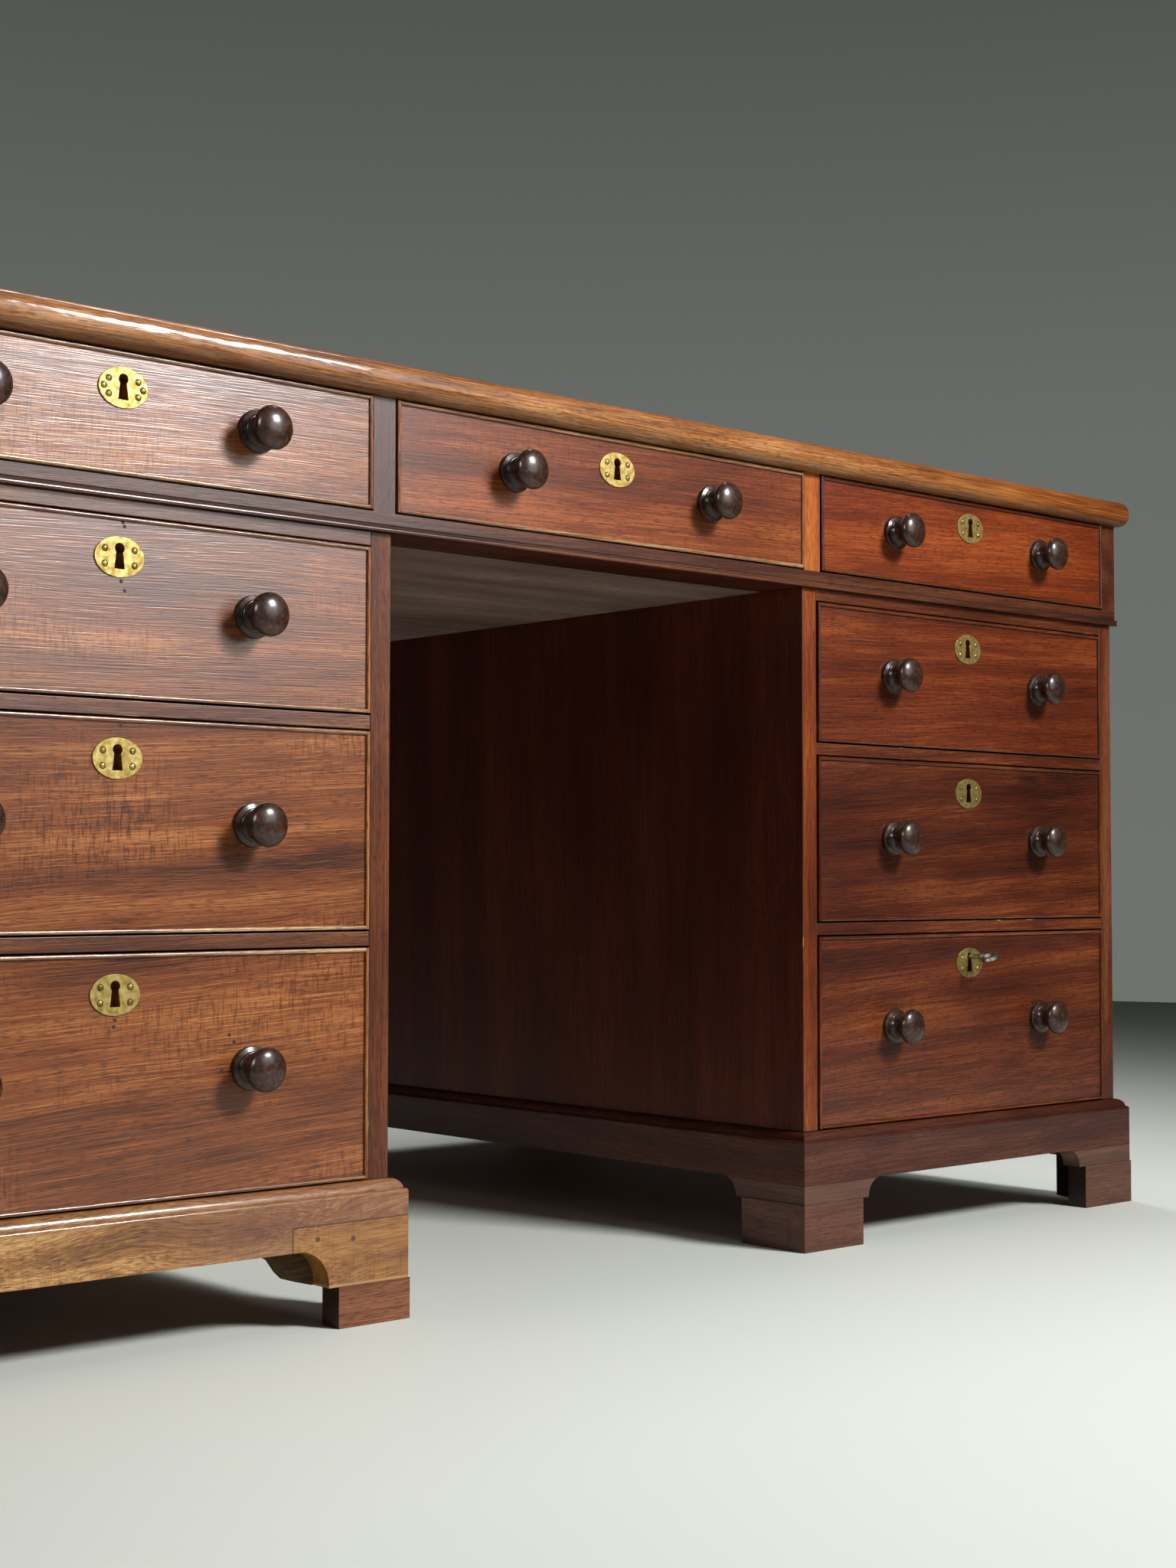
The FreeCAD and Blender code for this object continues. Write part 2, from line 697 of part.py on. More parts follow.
def drawer_lock(name, height, key_z, keyed, at, turn):
    """Escutcheon on the face and the lock case let into the back of the front."""
    case_top = height - d.drawer_gap - d.bead_thickness
    case_front = d.front_thickness - d.lock_depth
    case_z = (key_z - d.lock_below, case_top)
    case = box(f"{name}_lock_case", centred(d.lock_width), (case_front, d.front_thickness), case_z)
    if keyed:
        wall = d.lock_wall
        room_y = (case_front + wall, d.front_thickness - wall)
        room_z = (case_z[0] + wall, case_top - wall)
        case = cut(f"{name}_hollow_case", case,
                   box(f"{name}_lock_room", centred(d.lock_width - 2 * wall), room_y, room_z),
                   slot_box(f"{name}_case_slot", 0, (case_top - wall, case_top)),
                   cylinder(f"{name}_key_entry", d.keyhole_head_radius, wall, (0, case_front + wall, key_z),
                            OUT_OF_FACE))
    node(f"{name}_lock", case, copy_of(f"{name}_escutcheon", escutcheon, (0, 0, key_z)), at=at, turn=turn)


def lock_bolt(name, height, key_z, at):
    """Bolt of the keyed lock, withdrawn, with the talon that the key turns in."""
    back = bolt_slot()[1] - d.bolt_clearance
    blank = box(f"{name}_blank", centred(d.bolt_width), (back - d.bolt_thickness, back),
                (key_z - d.bolt_below, height - d.drawer_gap - d.bolt_clearance))
    talon = cylinder(f"{name}_talon", d.talon_radius, d.bolt_thickness, (0, back, key_z - d.bolt_below),
                     OUT_OF_FACE)
    node(name, cut(f"{name}_notched", blank, talon), at=at)


def lock_key(name, key_z, at):
    """Key with a ring bow, its bit in front of the bolt, left part-turned in the lock."""
    tip = bolt_slot()[0] - d.bolt_clearance
    bow_y = -d.key_stem - d.key_collar_length - d.key_bow_radius + d.key_bow_rim / 2
    bow_x = -d.key_bow_thickness / 2
    bow = cut(
        f"{name}_bow",
        cylinder(f"{name}_bow_disc", d.key_bow_radius, d.key_bow_thickness, (bow_x, bow_y, 0), ALONG_X),
        cylinder(f"{name}_bow_hole", d.key_bow_radius - d.key_bow_rim, d.key_bow_thickness,
                 (bow_x, bow_y, 0), ALONG_X))
    upright = fuse(
        f"{name}_upright",
        cylinder(f"{name}_shank", d.key_shank_radius, tip + d.key_stem + d.key_collar_length,
                 (0, tip, 0), OUT_OF_FACE),
        cylinder(f"{name}_collar", d.key_collar_radius, d.key_collar_length,
                 (0, -d.key_stem, 0), OUT_OF_FACE),
        box(f"{name}_bit", centred(d.key_bit_thickness), (tip - d.key_bit_depth, tip),
            (-d.key_bit_reach, 0)),
        bow)
    x, y, z = at
    node(name, upright, at=(x, y, z + key_z), turn=Rotation(Vector(0, 1, 0), KEY_TURN))


def drawer(name, width, height, length, at, turn=AHEAD, lock_drop=None, keyed=False):
    """One drawer, placed by the middle of its opening's lower edge."""
    key_z = None if lock_drop is None else height - lock_drop
    drawer_front(name, width, height, key_z, keyed, at, turn)
    drawer_box(name, width, height, length, at, turn)
    drawer_knobs(name, height, at, turn)
    if key_z is not None:
        drawer_lock(name, height, key_z, keyed, at, turn)
    if keyed:
        lock_bolt(f"{name}_bolt", height, key_z, at)
        lock_key(f"{name}_key", key_z, at)


def hinge_half(name, edge_x, leaf_x, middle_z, fixed):
    """One leaf of a butt hinge with its knuckles. The fixed leaf carries the pin."""
    axis_y = -(d.knuckle_radius + d.knuckle_gap)
    half, third = d.hinge_height / 2, d.hinge_height / 6
    slack = d.knuckle_gap / 2
    spans = [(-half, -third - slack), (third + slack, half)] if fixed else [(-third + slack, third - slack)]
    pieces = [box(f"{name}_leaf", leaf_x, (0, d.hinge_reach), (middle_z - half, middle_z + half))]
    for low, high in spans:
        pieces.append(cylinder(f"{name}_knuckle", d.knuckle_radius, high - low,
                               (edge_x, axis_y, middle_z + low)))
        pieces.append(box(f"{name}_web", leaf_x, (axis_y, 0), (middle_z + low, middle_z + high)))
    if fixed:
        pieces.append(cylinder(f"{name}_pin", d.pin_radius, d.hinge_height,
                               (edge_x, axis_y, middle_z - half)))
        return fuse(name, *pieces)
    bore = cylinder(f"{name}_bore", d.pin_radius + d.pin_clearance, d.hinge_height,
                    (edge_x, axis_y, middle_z - half))
    return cut(name, fuse(f"{name}_blank", *pieces), bore)


def cupboard_door(name, hand, at):
    """Framed door with a fielded panel, on two butt hinges at its outer side. Returns the fixed leaves."""
    height = cupboard_height - 2 * d.door_gap
    edge_x = hand * opening_width / 2
    fixed_x = in_order(edge_x, edge_x - hand * d.hinge_leaf)
    hung_edge = edge_x - hand * (2 * d.hinge_leaf + d.hinge_leaf_gap)
    hung_x = in_order(hung_edge, edge_x - hand * (d.hinge_leaf + d.hinge_leaf_gap))
    free_edge = -hand * (opening_width / 2 - d.door_gap)
    hung_inner = hung_edge - hand * d.door_stile
    free_inner = free_edge + hand * d.door_stile
    span_x = in_order(hung_inner, free_inner)
    full_z = (d.door_gap, d.door_gap + height)
    panel_z = (full_z[0] + d.door_rail, full_z[1] - d.door_rail)
    thick = (0, d.door_thickness)
    keyhole_x = (free_edge + free_inner) / 2
    lock_stile = box(f"{name}_lock_stile", in_order(free_edge, free_inner), thick, full_z)
    field = bind(doc.addObject("Part::Wedge", f"{name}_field"),
                 Xmin=span_x[0] + d.panel_margin, Xmax=span_x[1] - d.panel_margin,
                 X2min=span_x[0] + d.field_inset, X2max=span_x[1] - d.field_inset,
                 Ymin=0, Ymax=d.field_rise,
                 Zmin=panel_z[0] + d.panel_margin, Zmax=panel_z[1] - d.panel_margin,
                 Z2min=panel_z[0] + d.field_inset, Z2max=panel_z[1] - d.field_inset)
    place(field, (span_x[0] + span_x[1], d.panel_recess, 0), BEHIND)
    panel = box(f"{name}_panel_board", span_x, (d.panel_recess, d.panel_recess + d.panel_thickness), panel_z)
    node(f"{name}_leaf",
         cut(f"{name}_pierced_stile", lock_stile,
             copy_of(f"{name}_keyhole", keyhole, (keyhole_x, -d.escutcheon_thickness, d.door_lock_height))),
         box(f"{name}_hanging_stile", in_order(hung_edge, hung_inner), thick, full_z),
         box(f"{name}_bottom_rail", span_x, thick, (full_z[0], panel_z[0])),
         box(f"{name}_top_rail", span_x, thick, (panel_z[1], full_z[1])),
         fuse(f"{name}_panel", panel, field),
         at=at, turn=BEHIND)
    heights = (d.hinge_inset, cupboard_height - d.hinge_inset)
    hung = [hinge_half(f"{name}_hung_leaf_{number}", edge_x, hung_x, z, False)
            for number, z in enumerate(heights, start=1)]
    node(f"{name}_fittings", *hung,
         copy_of(f"{name}_escutcheon", escutcheon, (keyhole_x, 0, d.door_lock_height)), at=at, turn=BEHIND)
    fixed = [hinge_half(f"{name}_fixed_leaf_{number}", edge_x, fixed_x, z, True)
             for number, z in enumerate(heights, start=1)]
    return [copy_of(f"{leaf.Name}_on_side", leaf, at, BEHIND) for leaf in fixed]


def check_and_write():
    doc.recompute()
    for thing in doc.Objects:
        if "Invalid" in thing.State or "Error" in thing.State:
            raise RuntimeError(f"{thing.Label} failed: {thing.State}")
    for group in nodes:
        if group.Shape.isNull() or not group.Shape.isValid():
            raise RuntimeError(f"{group.Label} has no valid shape")
    os.makedirs("parts", exist_ok=True)
    for group in nodes:
        group.Shape.exportStep(f"parts/{group.Label}.step")
    print(f"{len(nodes)} sub-parts written")


knob = turned_knob()
keyhole = keyhole_tool()
escutcheon = escutcheon_plate(keyhole)

top_slab()
frieze_frame()
pedestal("left", -1)
pedestal("right", 1)
plinth("left", -1, d.left_foot_height, d.left_foot_width, d.left_bracket_reach, mended=True)
plinth("right", 1, d.right_foot_height, d.right_foot_width, d.right_bracket_reach)

# Frieze drawers, front and rear, in the bays between the partitions
bay_inner = inner_x + (d.side_thickness + d.muntin_width) / 2
bay_outer = frieze_width / 2 - d.frieze_end_thickness
frieze_bays = {
    "left": (-(bay_inner + bay_outer) / 2, bay_outer - bay_inner),
    "middle": (as_size(0), 2 * (bay_inner - d.muntin_width)),
    "right": ((bay_inner + bay_outer) / 2, bay_outer - bay_inner),
}
for bay, (bay_x, bay_width) in frieze_bays.items():
    drawer(f"frieze_{bay}_drawer", bay_width, d.frieze_drawer_height, d.frieze_drawer_length,
           (bay_x, -frieze_depth / 2, frieze_floor), lock_drop=d.frieze_lock_drop)
    drawer(f"rear_{bay}_drawer", bay_width, d.frieze_drawer_height, rear_drawer_length,
           (bay_x, frieze_depth / 2, frieze_floor), BEHIND)

# Graduated drawers of the two pedestals, the last one with the key in its lock
tiers = {
    "top": (top_floor, d.top_drawer_height),
    "middle": (middle_floor, d.middle_drawer_height),
    "bottom": (d.plinth_height, d.bottom_drawer_height),
}
hinge_leaves = []
for side, sign in (("left", -1), ("right", 1)):
    for tier, (floor, tier_height) in tiers.items():
        drawer(f"{side}_{tier}_drawer", opening_width, tier_height, d.drawer_length,
               (sign * pedestal_x, front_y, floor), lock_drop=d.lock_drop,
               keyed=(side, tier) == ("right", "bottom"))
    hinge_leaves += cupboard_door(f"{side}_door", -sign, (sign * pedestal_x, -front_y, d.plinth_height))
node("hinge_leaves", *hinge_leaves)

check_and_write()
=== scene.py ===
import json
import math

import bmesh
import bpy
from mathutils import Euler, Matrix, Vector

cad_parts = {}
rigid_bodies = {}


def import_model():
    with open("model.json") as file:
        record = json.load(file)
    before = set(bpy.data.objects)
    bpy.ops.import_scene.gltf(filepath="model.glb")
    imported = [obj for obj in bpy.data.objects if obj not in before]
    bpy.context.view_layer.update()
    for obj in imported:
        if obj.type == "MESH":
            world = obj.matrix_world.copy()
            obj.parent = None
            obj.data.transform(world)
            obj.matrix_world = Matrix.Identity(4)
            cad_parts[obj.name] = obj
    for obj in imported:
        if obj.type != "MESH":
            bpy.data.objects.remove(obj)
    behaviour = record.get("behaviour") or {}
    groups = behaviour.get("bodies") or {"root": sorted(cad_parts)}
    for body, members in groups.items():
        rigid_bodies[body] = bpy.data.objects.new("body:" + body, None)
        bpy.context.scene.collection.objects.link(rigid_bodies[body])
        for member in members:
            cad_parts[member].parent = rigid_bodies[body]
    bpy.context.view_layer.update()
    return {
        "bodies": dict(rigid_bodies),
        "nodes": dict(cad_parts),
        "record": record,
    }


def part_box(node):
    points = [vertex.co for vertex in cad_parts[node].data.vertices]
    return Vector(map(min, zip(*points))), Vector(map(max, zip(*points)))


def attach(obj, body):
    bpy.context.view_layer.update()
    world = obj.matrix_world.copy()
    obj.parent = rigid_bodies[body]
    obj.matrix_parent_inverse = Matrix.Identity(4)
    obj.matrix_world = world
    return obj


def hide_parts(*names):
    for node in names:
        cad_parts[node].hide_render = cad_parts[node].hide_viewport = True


# Looks of the partners desk: old mahogany, turned knobs, brass escutcheons, a steel key and a leather top.
# Metres. X runs along the desk, the drawer side faces -Y, Z is up.

MM = 0.001

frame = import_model()
bodies_of = {node: body for body, nodes in frame["record"]["behaviour"]["bodies"].items() for node in nodes}


# Materials

def linear(text):
    """Linear colour of an sRGB hex value."""
    channels = [int(text[i:i + 2], 16) / 255 for i in (1, 3, 5)]
    return (*[c / 12.92 if c <= 0.04045 else ((c + 0.055) / 1.055) ** 2.4 for c in channels], 1.0)


def add(tree, kind, settings=None, inputs=None, stops=None):
    """A node with its settings, the values and links of its inputs, and the stops of a colour ramp."""
    made = tree.nodes.new(kind)
    for name, value in (settings or {}).items():
        setattr(made, name, value)
    for socket, value in (inputs or {}).items():
        if isinstance(value, bpy.types.NodeSocket):
            tree.links.new(value, made.inputs[socket])
        else:
            made.inputs[socket].default_value = value
    for index, (place, colour) in enumerate(stops or []):
        elements = made.color_ramp.elements
        element = elements[index] if index < 2 else elements.new(place)
        element.position = place
        element.color = linear(colour)
    return made


def blank_material(name):
    material = bpy.data.materials.new(name)
    material.use_nodes = True
    material.node_tree.nodes.clear()
    return material, material.node_tree


def finish_material(material, shader):
    add(material.node_tree, "ShaderNodeOutputMaterial", {}, {"Surface": shader.outputs[0]})
    return material


# Axes along the grain, across it and towards which it leans
GRAIN_AXES = {"X": ("X", "Y", "Z"), "Y": ("Y", "X", "Z"), "Z": ("Z", "X", "Y")}
# Where the dark, middle and pale tones lie in the figure
TONE_PLACES = (0.26, 0.5, 0.74)
PORE_DEPTH = 0.3 * MM


def timber(name, along, tones, stripe_mm=24, slope=0.03, wander_mm=18, length=1.0, ripple=0.0,
           roughness=0.45, polish=0.9, blur=0.22, sunk_mm=0.09, dents=0.0, paint=None):
    """Sawn, planed and polished hardwood: long wandering stripes and dark growth lines, fine fibres,
    short open pores and patches of ripple across the grain, under a clear polish whose gloss varies in
    clouds. Tones are its dark, middle and pale colours. Slope is how far the grain runs off the board's
    length, wander how far it strays, and a length under 1 gives the shorter figure of a root or a crotch.
    Sunk is how deep the polish lies between the fibres, and dents how far knocks show in it beside that.
    Pores and fibres are drawn wider than the real ones, so that they show. A paint function lays more
    colours over the wood."""
    material, tree = blank_material(name)
    place = add(tree, "ShaderNodeSeparateXYZ", {}, {
        "Vector": add(tree, "ShaderNodeTexCoord").outputs["Object"]})
    first, second, third = (place.outputs[axis] for axis in GRAIN_AXES[along])
    leaning = add(tree, "ShaderNodeMath", {"operation": "MULTIPLY_ADD"}, {0: first, 1: -slope, 2: third})
    grain = add(tree, "ShaderNodeCombineXYZ", {}, {
        "X": first, "Y": second, "Z": leaning.outputs[0]}).outputs["Vector"]

    def streaks(vector, length_mm, width_mm, detail):
        """Noise whose features are about this long and wide."""
        across = 1 / (width_mm * MM)
        drawn = add(tree, "ShaderNodeMapping", {}, {
            "Vector": vector, "Scale": (1 / (length_mm * MM), across, across)})
        return add(tree, "ShaderNodeTexNoise", {}, {
            "Vector": drawn.outputs["Vector"], "Scale": 1.0, "Detail": detail, "Roughness": 0.6})

    wander = wander_mm * MM
    drift = streaks(grain, 420 * length, 130 * length, 1.0).outputs["Color"]
    waved = add(tree, "ShaderNodeVectorMath", {"operation": "MULTIPLY_ADD"}, {
        0: drift, 1: (0.0, wander, wander), 2: grain}).outputs["Vector"]
    stripes = streaks(waved, 1500 * length, stripe_mm, 1.0).outputs["Fac"]
    growth = streaks(waved, 1300 * length, stripe_mm / 6, 1.0).outputs["Fac"]
    fibres = streaks(waved, 75 * length, 0.9, 1.0).outputs["Fac"]
    pores = streaks(waved, 9, 1.1, 0.0).outputs["Fac"]
    ripples = streaks(grain, 2.0, 12, 1.0).outputs["Fac"]
    clouds = streaks(grain, 260, 90, 2.0).outputs["Fac"]

    layers = ((stripes, 0.5), (growth, 0.18), (fibres, 0.55), (clouds, 0.5))
    figure = 0.5 - sum(weight for layer, weight in layers) / 2
    for layer, weight in layers:
        figure = add(tree, "ShaderNodeMath", {"operation": "MULTIPLY_ADD"}, {
            0: layer, 1: weight, 2: figure}).outputs[0]
    lines = add(tree, "ShaderNodeMapRange", {}, {
        "Value": growth, "From Min": 0.6, "From Max": 0.72, "To Min": 0.0, "To Max": 0.1}).outputs["Result"]
    rippled = add(tree, "ShaderNodeMapRange", {}, {
        "Value": clouds, "From Min": 0.46, "From Max": 0.64,
        "To Min": 0.0, "To Max": ripple}).outputs["Result"]
    cross = add(tree, "ShaderNodeMapRange", {}, {
        "Value": ripples, "From Min": 0.5, "From Max": 0.75,
        "To Min": 0.0, "To Max": rippled}).outputs["Result"]
    for shade in (lines, cross):
        figure = add(tree, "ShaderNodeMath", {"operation": "SUBTRACT"}, {0: figure, 1: shade}).outputs[0]
    stops = zip(TONE_PLACES, tones)
    colour = add(tree, "ShaderNodeValToRGB", {}, {"Fac": figure}, stops).outputs["Color"]
    open_pores = add(tree, "ShaderNodeMapRange", {}, {
        "Value": pores, "From Min": 0.56, "From Max": 0.7, "To Min": 0.0, "To Max": 0.5}).outputs["Result"]
    colour = add(tree, "ShaderNodeMix", {"data_type": "RGBA"}, {
        "Factor": open_pores, "A": colour, "B": linear(tones[0])}).outputs["Result"]
    if paint is not None:
        colour = paint(tree, place, figure, colour)
    gloss = add(tree, "ShaderNodeMapRange", {}, {
        "Value": clouds, "From Min": 0.3, "From Max": 0.7,
        "To Min": roughness - 0.05, "To Max": roughness + 0.07}).outputs["Result"]
    relief = add(tree, "ShaderNodeMath", {"operation": "SUBTRACT"}, {0: fibres, 1: open_pores}).outputs[0]
    knocks = streaks(grain, 45, 9, 2.0).outputs["Fac"]
    normals = []
    for height, depth in ((relief, PORE_DEPTH), (fibres, sunk_mm * MM)):
        knocked = add(tree, "ShaderNodeMath", {"operation": "MULTIPLY_ADD"}, {
            0: knocks, 1: dents, 2: height}).outputs[0]
        normals.append(add(tree, "ShaderNodeBump", {}, {
            "Height": knocked, "Strength": 0.5, "Distance": depth}).outputs["Normal"])
    return finish_material(material, add(tree, "ShaderNodeBsdfPrincipled", {}, {
        "Base Color": colour, "Roughness": gloss, "Normal": normals[0],
        "IOR": 1.5, "Specular IOR Level": 0.15,
        "Coat Weight": polish, "Coat Roughness": blur, "Coat IOR": 1.65, "Coat Normal": normals[1]}))


# How far the middle of each pedestal stands from the middle of the desk
PEDESTAL_MIDDLE = 500.5 * MM
# Let-in piece of the mended plinth: its left end, its top and its two nail holes
MEND_LEFT = -348 * MM
MEND_TOP = 83 * MM
MEND_NAILS = ((-325 * MM, 72.6 * MM), (-291 * MM, 70 * MM))
NAIL_HOLE = 1.6 * MM
NAIL_STAIN = 2.6 * MM
JOINT_WIDTH = 0.9 * MM
JOINT_BLUR = 0.4 * MM
# Top of the pale line of glue where the front's brackets stand on their feet
GLUE_TOP = 35.4 * MM
GLUE_BLUR = 0.6 * MM
# The plinth's board ends and its moulding begins between these heights
MOULDING_FOOT = (98 * MM, 103 * MM)
# How brown the plinth's board and its moulding are at the left, at the mend, and where that begins and ends
BOARD_BROWN = (0.0, 0.8, -490 * MM)
MOULDING_BROWN = (0.25, 0.75, -640 * MM)
BROWN_END = -390 * MM
# Brackets of the dark plinth are pieced out below this height
BRACKET_TOP = (62 * MM, 63 * MM)
# The slab grows deeper in colour between these places along it, and painted shade under its rounded edge
# fades out between these heights
SUN_SHADE = (100 * MM, 600 * MM)
NOSE_SHADE_LINE = (752 * MM, 765 * MM)


def mended_plinth(tree, place, figure, colour):
    """Paints the front plinth: browner along its moulding and towards the mend, a new piece let in at the
    corner, its dark joint, a pale line of glue above the feet and two nail holes."""
    def let_in(margin):
        """One inside the new piece grown by a margin, with a blur that keeps its edge from stepping."""
        within = 1.0
        edges = (("X", MEND_LEFT - margin, JOINT_BLUR), ("Z", MEND_TOP + margin, -JOINT_BLUR))
        for axis, edge, blur in edges:
            past = add(tree, "ShaderNodeMapRange", {}, {
                "Value": place.outputs[axis], "From Min": edge - blur, "From Max": edge + blur})
            within = add(tree, "ShaderNodeMath", {"operation": "MULTIPLY"}, {
                0: past.outputs["Result"], 1: within}).outputs[0]
        return within

    brown = add(tree, "ShaderNodeValToRGB", {}, {"Fac": figure}, [
        (0.2, "#452414"), (0.5, "#744630"), (0.8, "#9a6c4c")]).outputs["Color"]
    fresh = add(tree, "ShaderNodeValToRGB", {}, {"Fac": figure}, [
        (0.25, "#3f2008"), (0.5, "#804f1f"), (0.75, "#b38146")]).outputs["Color"]
    browned = []
    for least, most, start in (BOARD_BROWN, MOULDING_BROWN):
        browned.append(add(tree, "ShaderNodeMapRange", {}, {
            "Value": place.outputs["X"], "From Min": start, "From Max": BROWN_END,
            "To Min": least, "To Max": most}).outputs["Result"])
    moulding = add(tree, "ShaderNodeMapRange", {}, {
        "Value": place.outputs["Z"], "From Min": MOULDING_FOOT[0], "From Max": MOULDING_FOOT[1],
        "To Min": browned[0], "To Max": browned[1]}).outputs["Result"]
    piece = let_in(0.0)
    joint = add(tree, "ShaderNodeMath", {"operation": "SUBTRACT"}, {
        0: let_in(JOINT_WIDTH), 1: piece}).outputs[0]
    glue = add(tree, "ShaderNodeMapRange", {}, {
        "Value": place.outputs["Z"], "From Min": GLUE_TOP, "From Max": GLUE_TOP - GLUE_BLUR,
        "To Min": 0.0, "To Max": 0.65}).outputs["Result"]
    layers = [(moulding, brown), (piece, fresh), (joint, linear("#2c180e")), (glue, linear("#b8945f"))]
    flat = add(tree, "ShaderNodeCombineXYZ", {}, {"X": place.outputs["X"], "Z": place.outputs["Z"]})
    for hole_x, hole_z in MEND_NAILS:
        away = add(tree, "ShaderNodeVectorMath", {"operation": "DISTANCE"}, {
            0: flat.outputs["Vector"], 1: (hole_x, 0.0, hole_z)}).outputs["Value"]
        hole = add(tree, "ShaderNodeMapRange", {}, {
            "Value": away, "From Min": NAIL_HOLE, "From Max": NAIL_STAIN, "To Min": 0.85, "To Max": 0.0})
        layers.append((hole.outputs["Result"], linear("#24140c")))
    for factor, above in layers:
        colour = add(tree, "ShaderNodeMix", {"data_type": "RGBA"}, {
            "Factor": factor, "A": colour, "B": above}).outputs["Result"]
    return colour


def sunned_slab_with_painted_shade(tree, place, figure, colour):
    """Paints the slab: its right half has kept the deep orange that the sun took from the left, and the foot
    of its rounded edge is painted dark brown as shade, where it turns down from the light."""
    deep = add(tree, "ShaderNodeValToRGB", {}, {"Fac": figure}, [
        (0.32, "#3a1704"), (0.5, "#7a3f12"), (0.68, "#a8692f")]).outputs["Color"]
    kept = add(tree, "ShaderNodeMapRange", {}, {
        "Value": place.outputs["X"], "From Min": SUN_SHADE[0], "From Max": SUN_SHADE[1]}).outputs["Result"]
    # Painted shade: the foot of the slab's rounded edge is darkened where it turns down
    nose_shade = add(tree, "ShaderNodeMapRange", {}, {
        "Value": place.outputs["Z"], "From Min": NOSE_SHADE_LINE[0], "From Max": NOSE_SHADE_LINE[1],
        "To Min": 0.6, "To Max": 0.0}).outputs["Result"]
    for factor, above in ((kept, deep), (nose_shade, linear("#3a1c0c"))):
        colour = add(tree, "ShaderNodeMix", {"data_type": "RGBA"}, {
            "Factor": factor, "A": colour, "B": above}).outputs["Result"]
    return colour


def pieced_plinth(tree, place, figure, colour):
    """Paints the dark plinth: its brackets are pieced out below the rail in a paler brown."""
    pale = add(tree, "ShaderNodeValToRGB", {}, {"Fac": figure}, [
        (0.2, "#38231a"), (0.5, "#593e30"), (0.8, "#775846")]).outputs["Color"]
    below = add(tree, "ShaderNodeMapRange", {}, {
        "Value": place.outputs["Z"], "From Min": BRACKET_TOP[1], "From Max": BRACKET_TOP[0],
        "To Min": 0.0, "To Max": 0.8}).outputs["Result"]
    return add(tree, "ShaderNodeMix", {"data_type": "RGBA"}, {
        "Factor": below, "A": colour, "B": pale}).outputs["Result"]


def foot_with_painted_shade(tree, place, figure, colour):
    """Paints a foot: its inner faces, which turn in under the pedestal, are painted nearly black as shade.
    """
    facing = add(tree, "ShaderNodeSeparateXYZ", {}, {
        "Vector": add(tree, "ShaderNodeNewGeometry").outputs["Normal"]})
    side = add(tree, "ShaderNodeMath", {"operation": "ABSOLUTE"}, {0: place.outputs["X"]}).outputs[0]
    from_middle = add(tree, "ShaderNodeMath", {"operation": "SUBTRACT"}, {
        0: side, 1: PEDESTAL_MIDDLE}).outputs[0]
    hand = add(tree, "ShaderNodeMath", {"operation": "SIGN"}, {0: place.outputs["X"]}).outputs[0]
    away_x = add(tree, "ShaderNodeMath", {"operation": "MULTIPLY"}, {0: from_middle, 1: hand}).outputs[0]
    for axis, away in (("X", away_x), ("Y", place.outputs["Y"])):
        outward = add(tree, "ShaderNodeMath", {"operation": "SIGN"}, {0: away}).outputs[0]
        along = add(tree, "ShaderNodeMath", {"operation": "MULTIPLY"}, {
            0: facing.outputs[axis], 1: outward}).outputs[0]
        # Painted shade: faces turned in towards the middle of the pedestal go nearly black
        inner = add(tree, "ShaderNodeMapRange", {}, {
            "Value": along, "From Min": -0.3, "From Max": -0.8,
            "To Min": 0.0, "To Max": 0.85}).outputs["Result"]
        colour = add(tree, "ShaderNodeMix", {"data_type": "RGBA"}, {
            "Factor": inner, "A": colour, "B": linear("#150b07")}).outputs["Result"]
    return colour


def rubbed_edge(name, stops):
    """Edges that hands and dusters have rubbed through the polish: paler, drier wood in patches."""
    material, tree = blank_material(name)
    patches = add(tree, "ShaderNodeTexNoise", {}, {
        "Vector": add(tree, "ShaderNodeTexCoord").outputs["Object"], "Scale": 1 / (35 * MM), "Detail": 3.0})
    colour = add(tree, "ShaderNodeValToRGB", {}, {"Fac": patches.outputs["Fac"]}, stops)
    return finish_material(material, add(tree, "ShaderNodeBsdfPrincipled", {}, {
        "Base Color": colour.outputs["Color"], "Roughness": 0.35, "IOR": 1.5}))


def turned_hardwood():
    """Knobs: close-grained wood turned on a lathe, stained nearly black and polished by hands, with a
    soft shine."""
    material, tree = blank_material("stained_turned_hardwood")
    coords = add(tree, "ShaderNodeTexCoord").outputs["Object"]
    mottle = add(tree, "ShaderNodeTexNoise", {}, {"Vector": coords, "Scale": 1 / (3 * MM), "Detail": 4.0})
    colour = add(tree, "ShaderNodeValToRGB", {}, {"Fac": mottle.outputs["Fac"]}, [
        (0.35, "#1d0c05"), (0.52, "#31190b"), (0.72, "#502e18")])
    bump = add(tree, "ShaderNodeBump", {}, {
        "Height": mottle.outputs["Fac"], "Strength": 0.2, "Distance": 0.2 * MM})
    return finish_material(material, add(tree, "ShaderNodeBsdfPrincipled", {}, {
        "Base Color": colour.outputs["Color"], "Roughness": 0.5, "IOR": 1.5, "Specular IOR Level": 0.15,
        "Coat Weight": 0.6, "Coat Roughness": 0.2, "Normal": bump.outputs["Normal"]}))


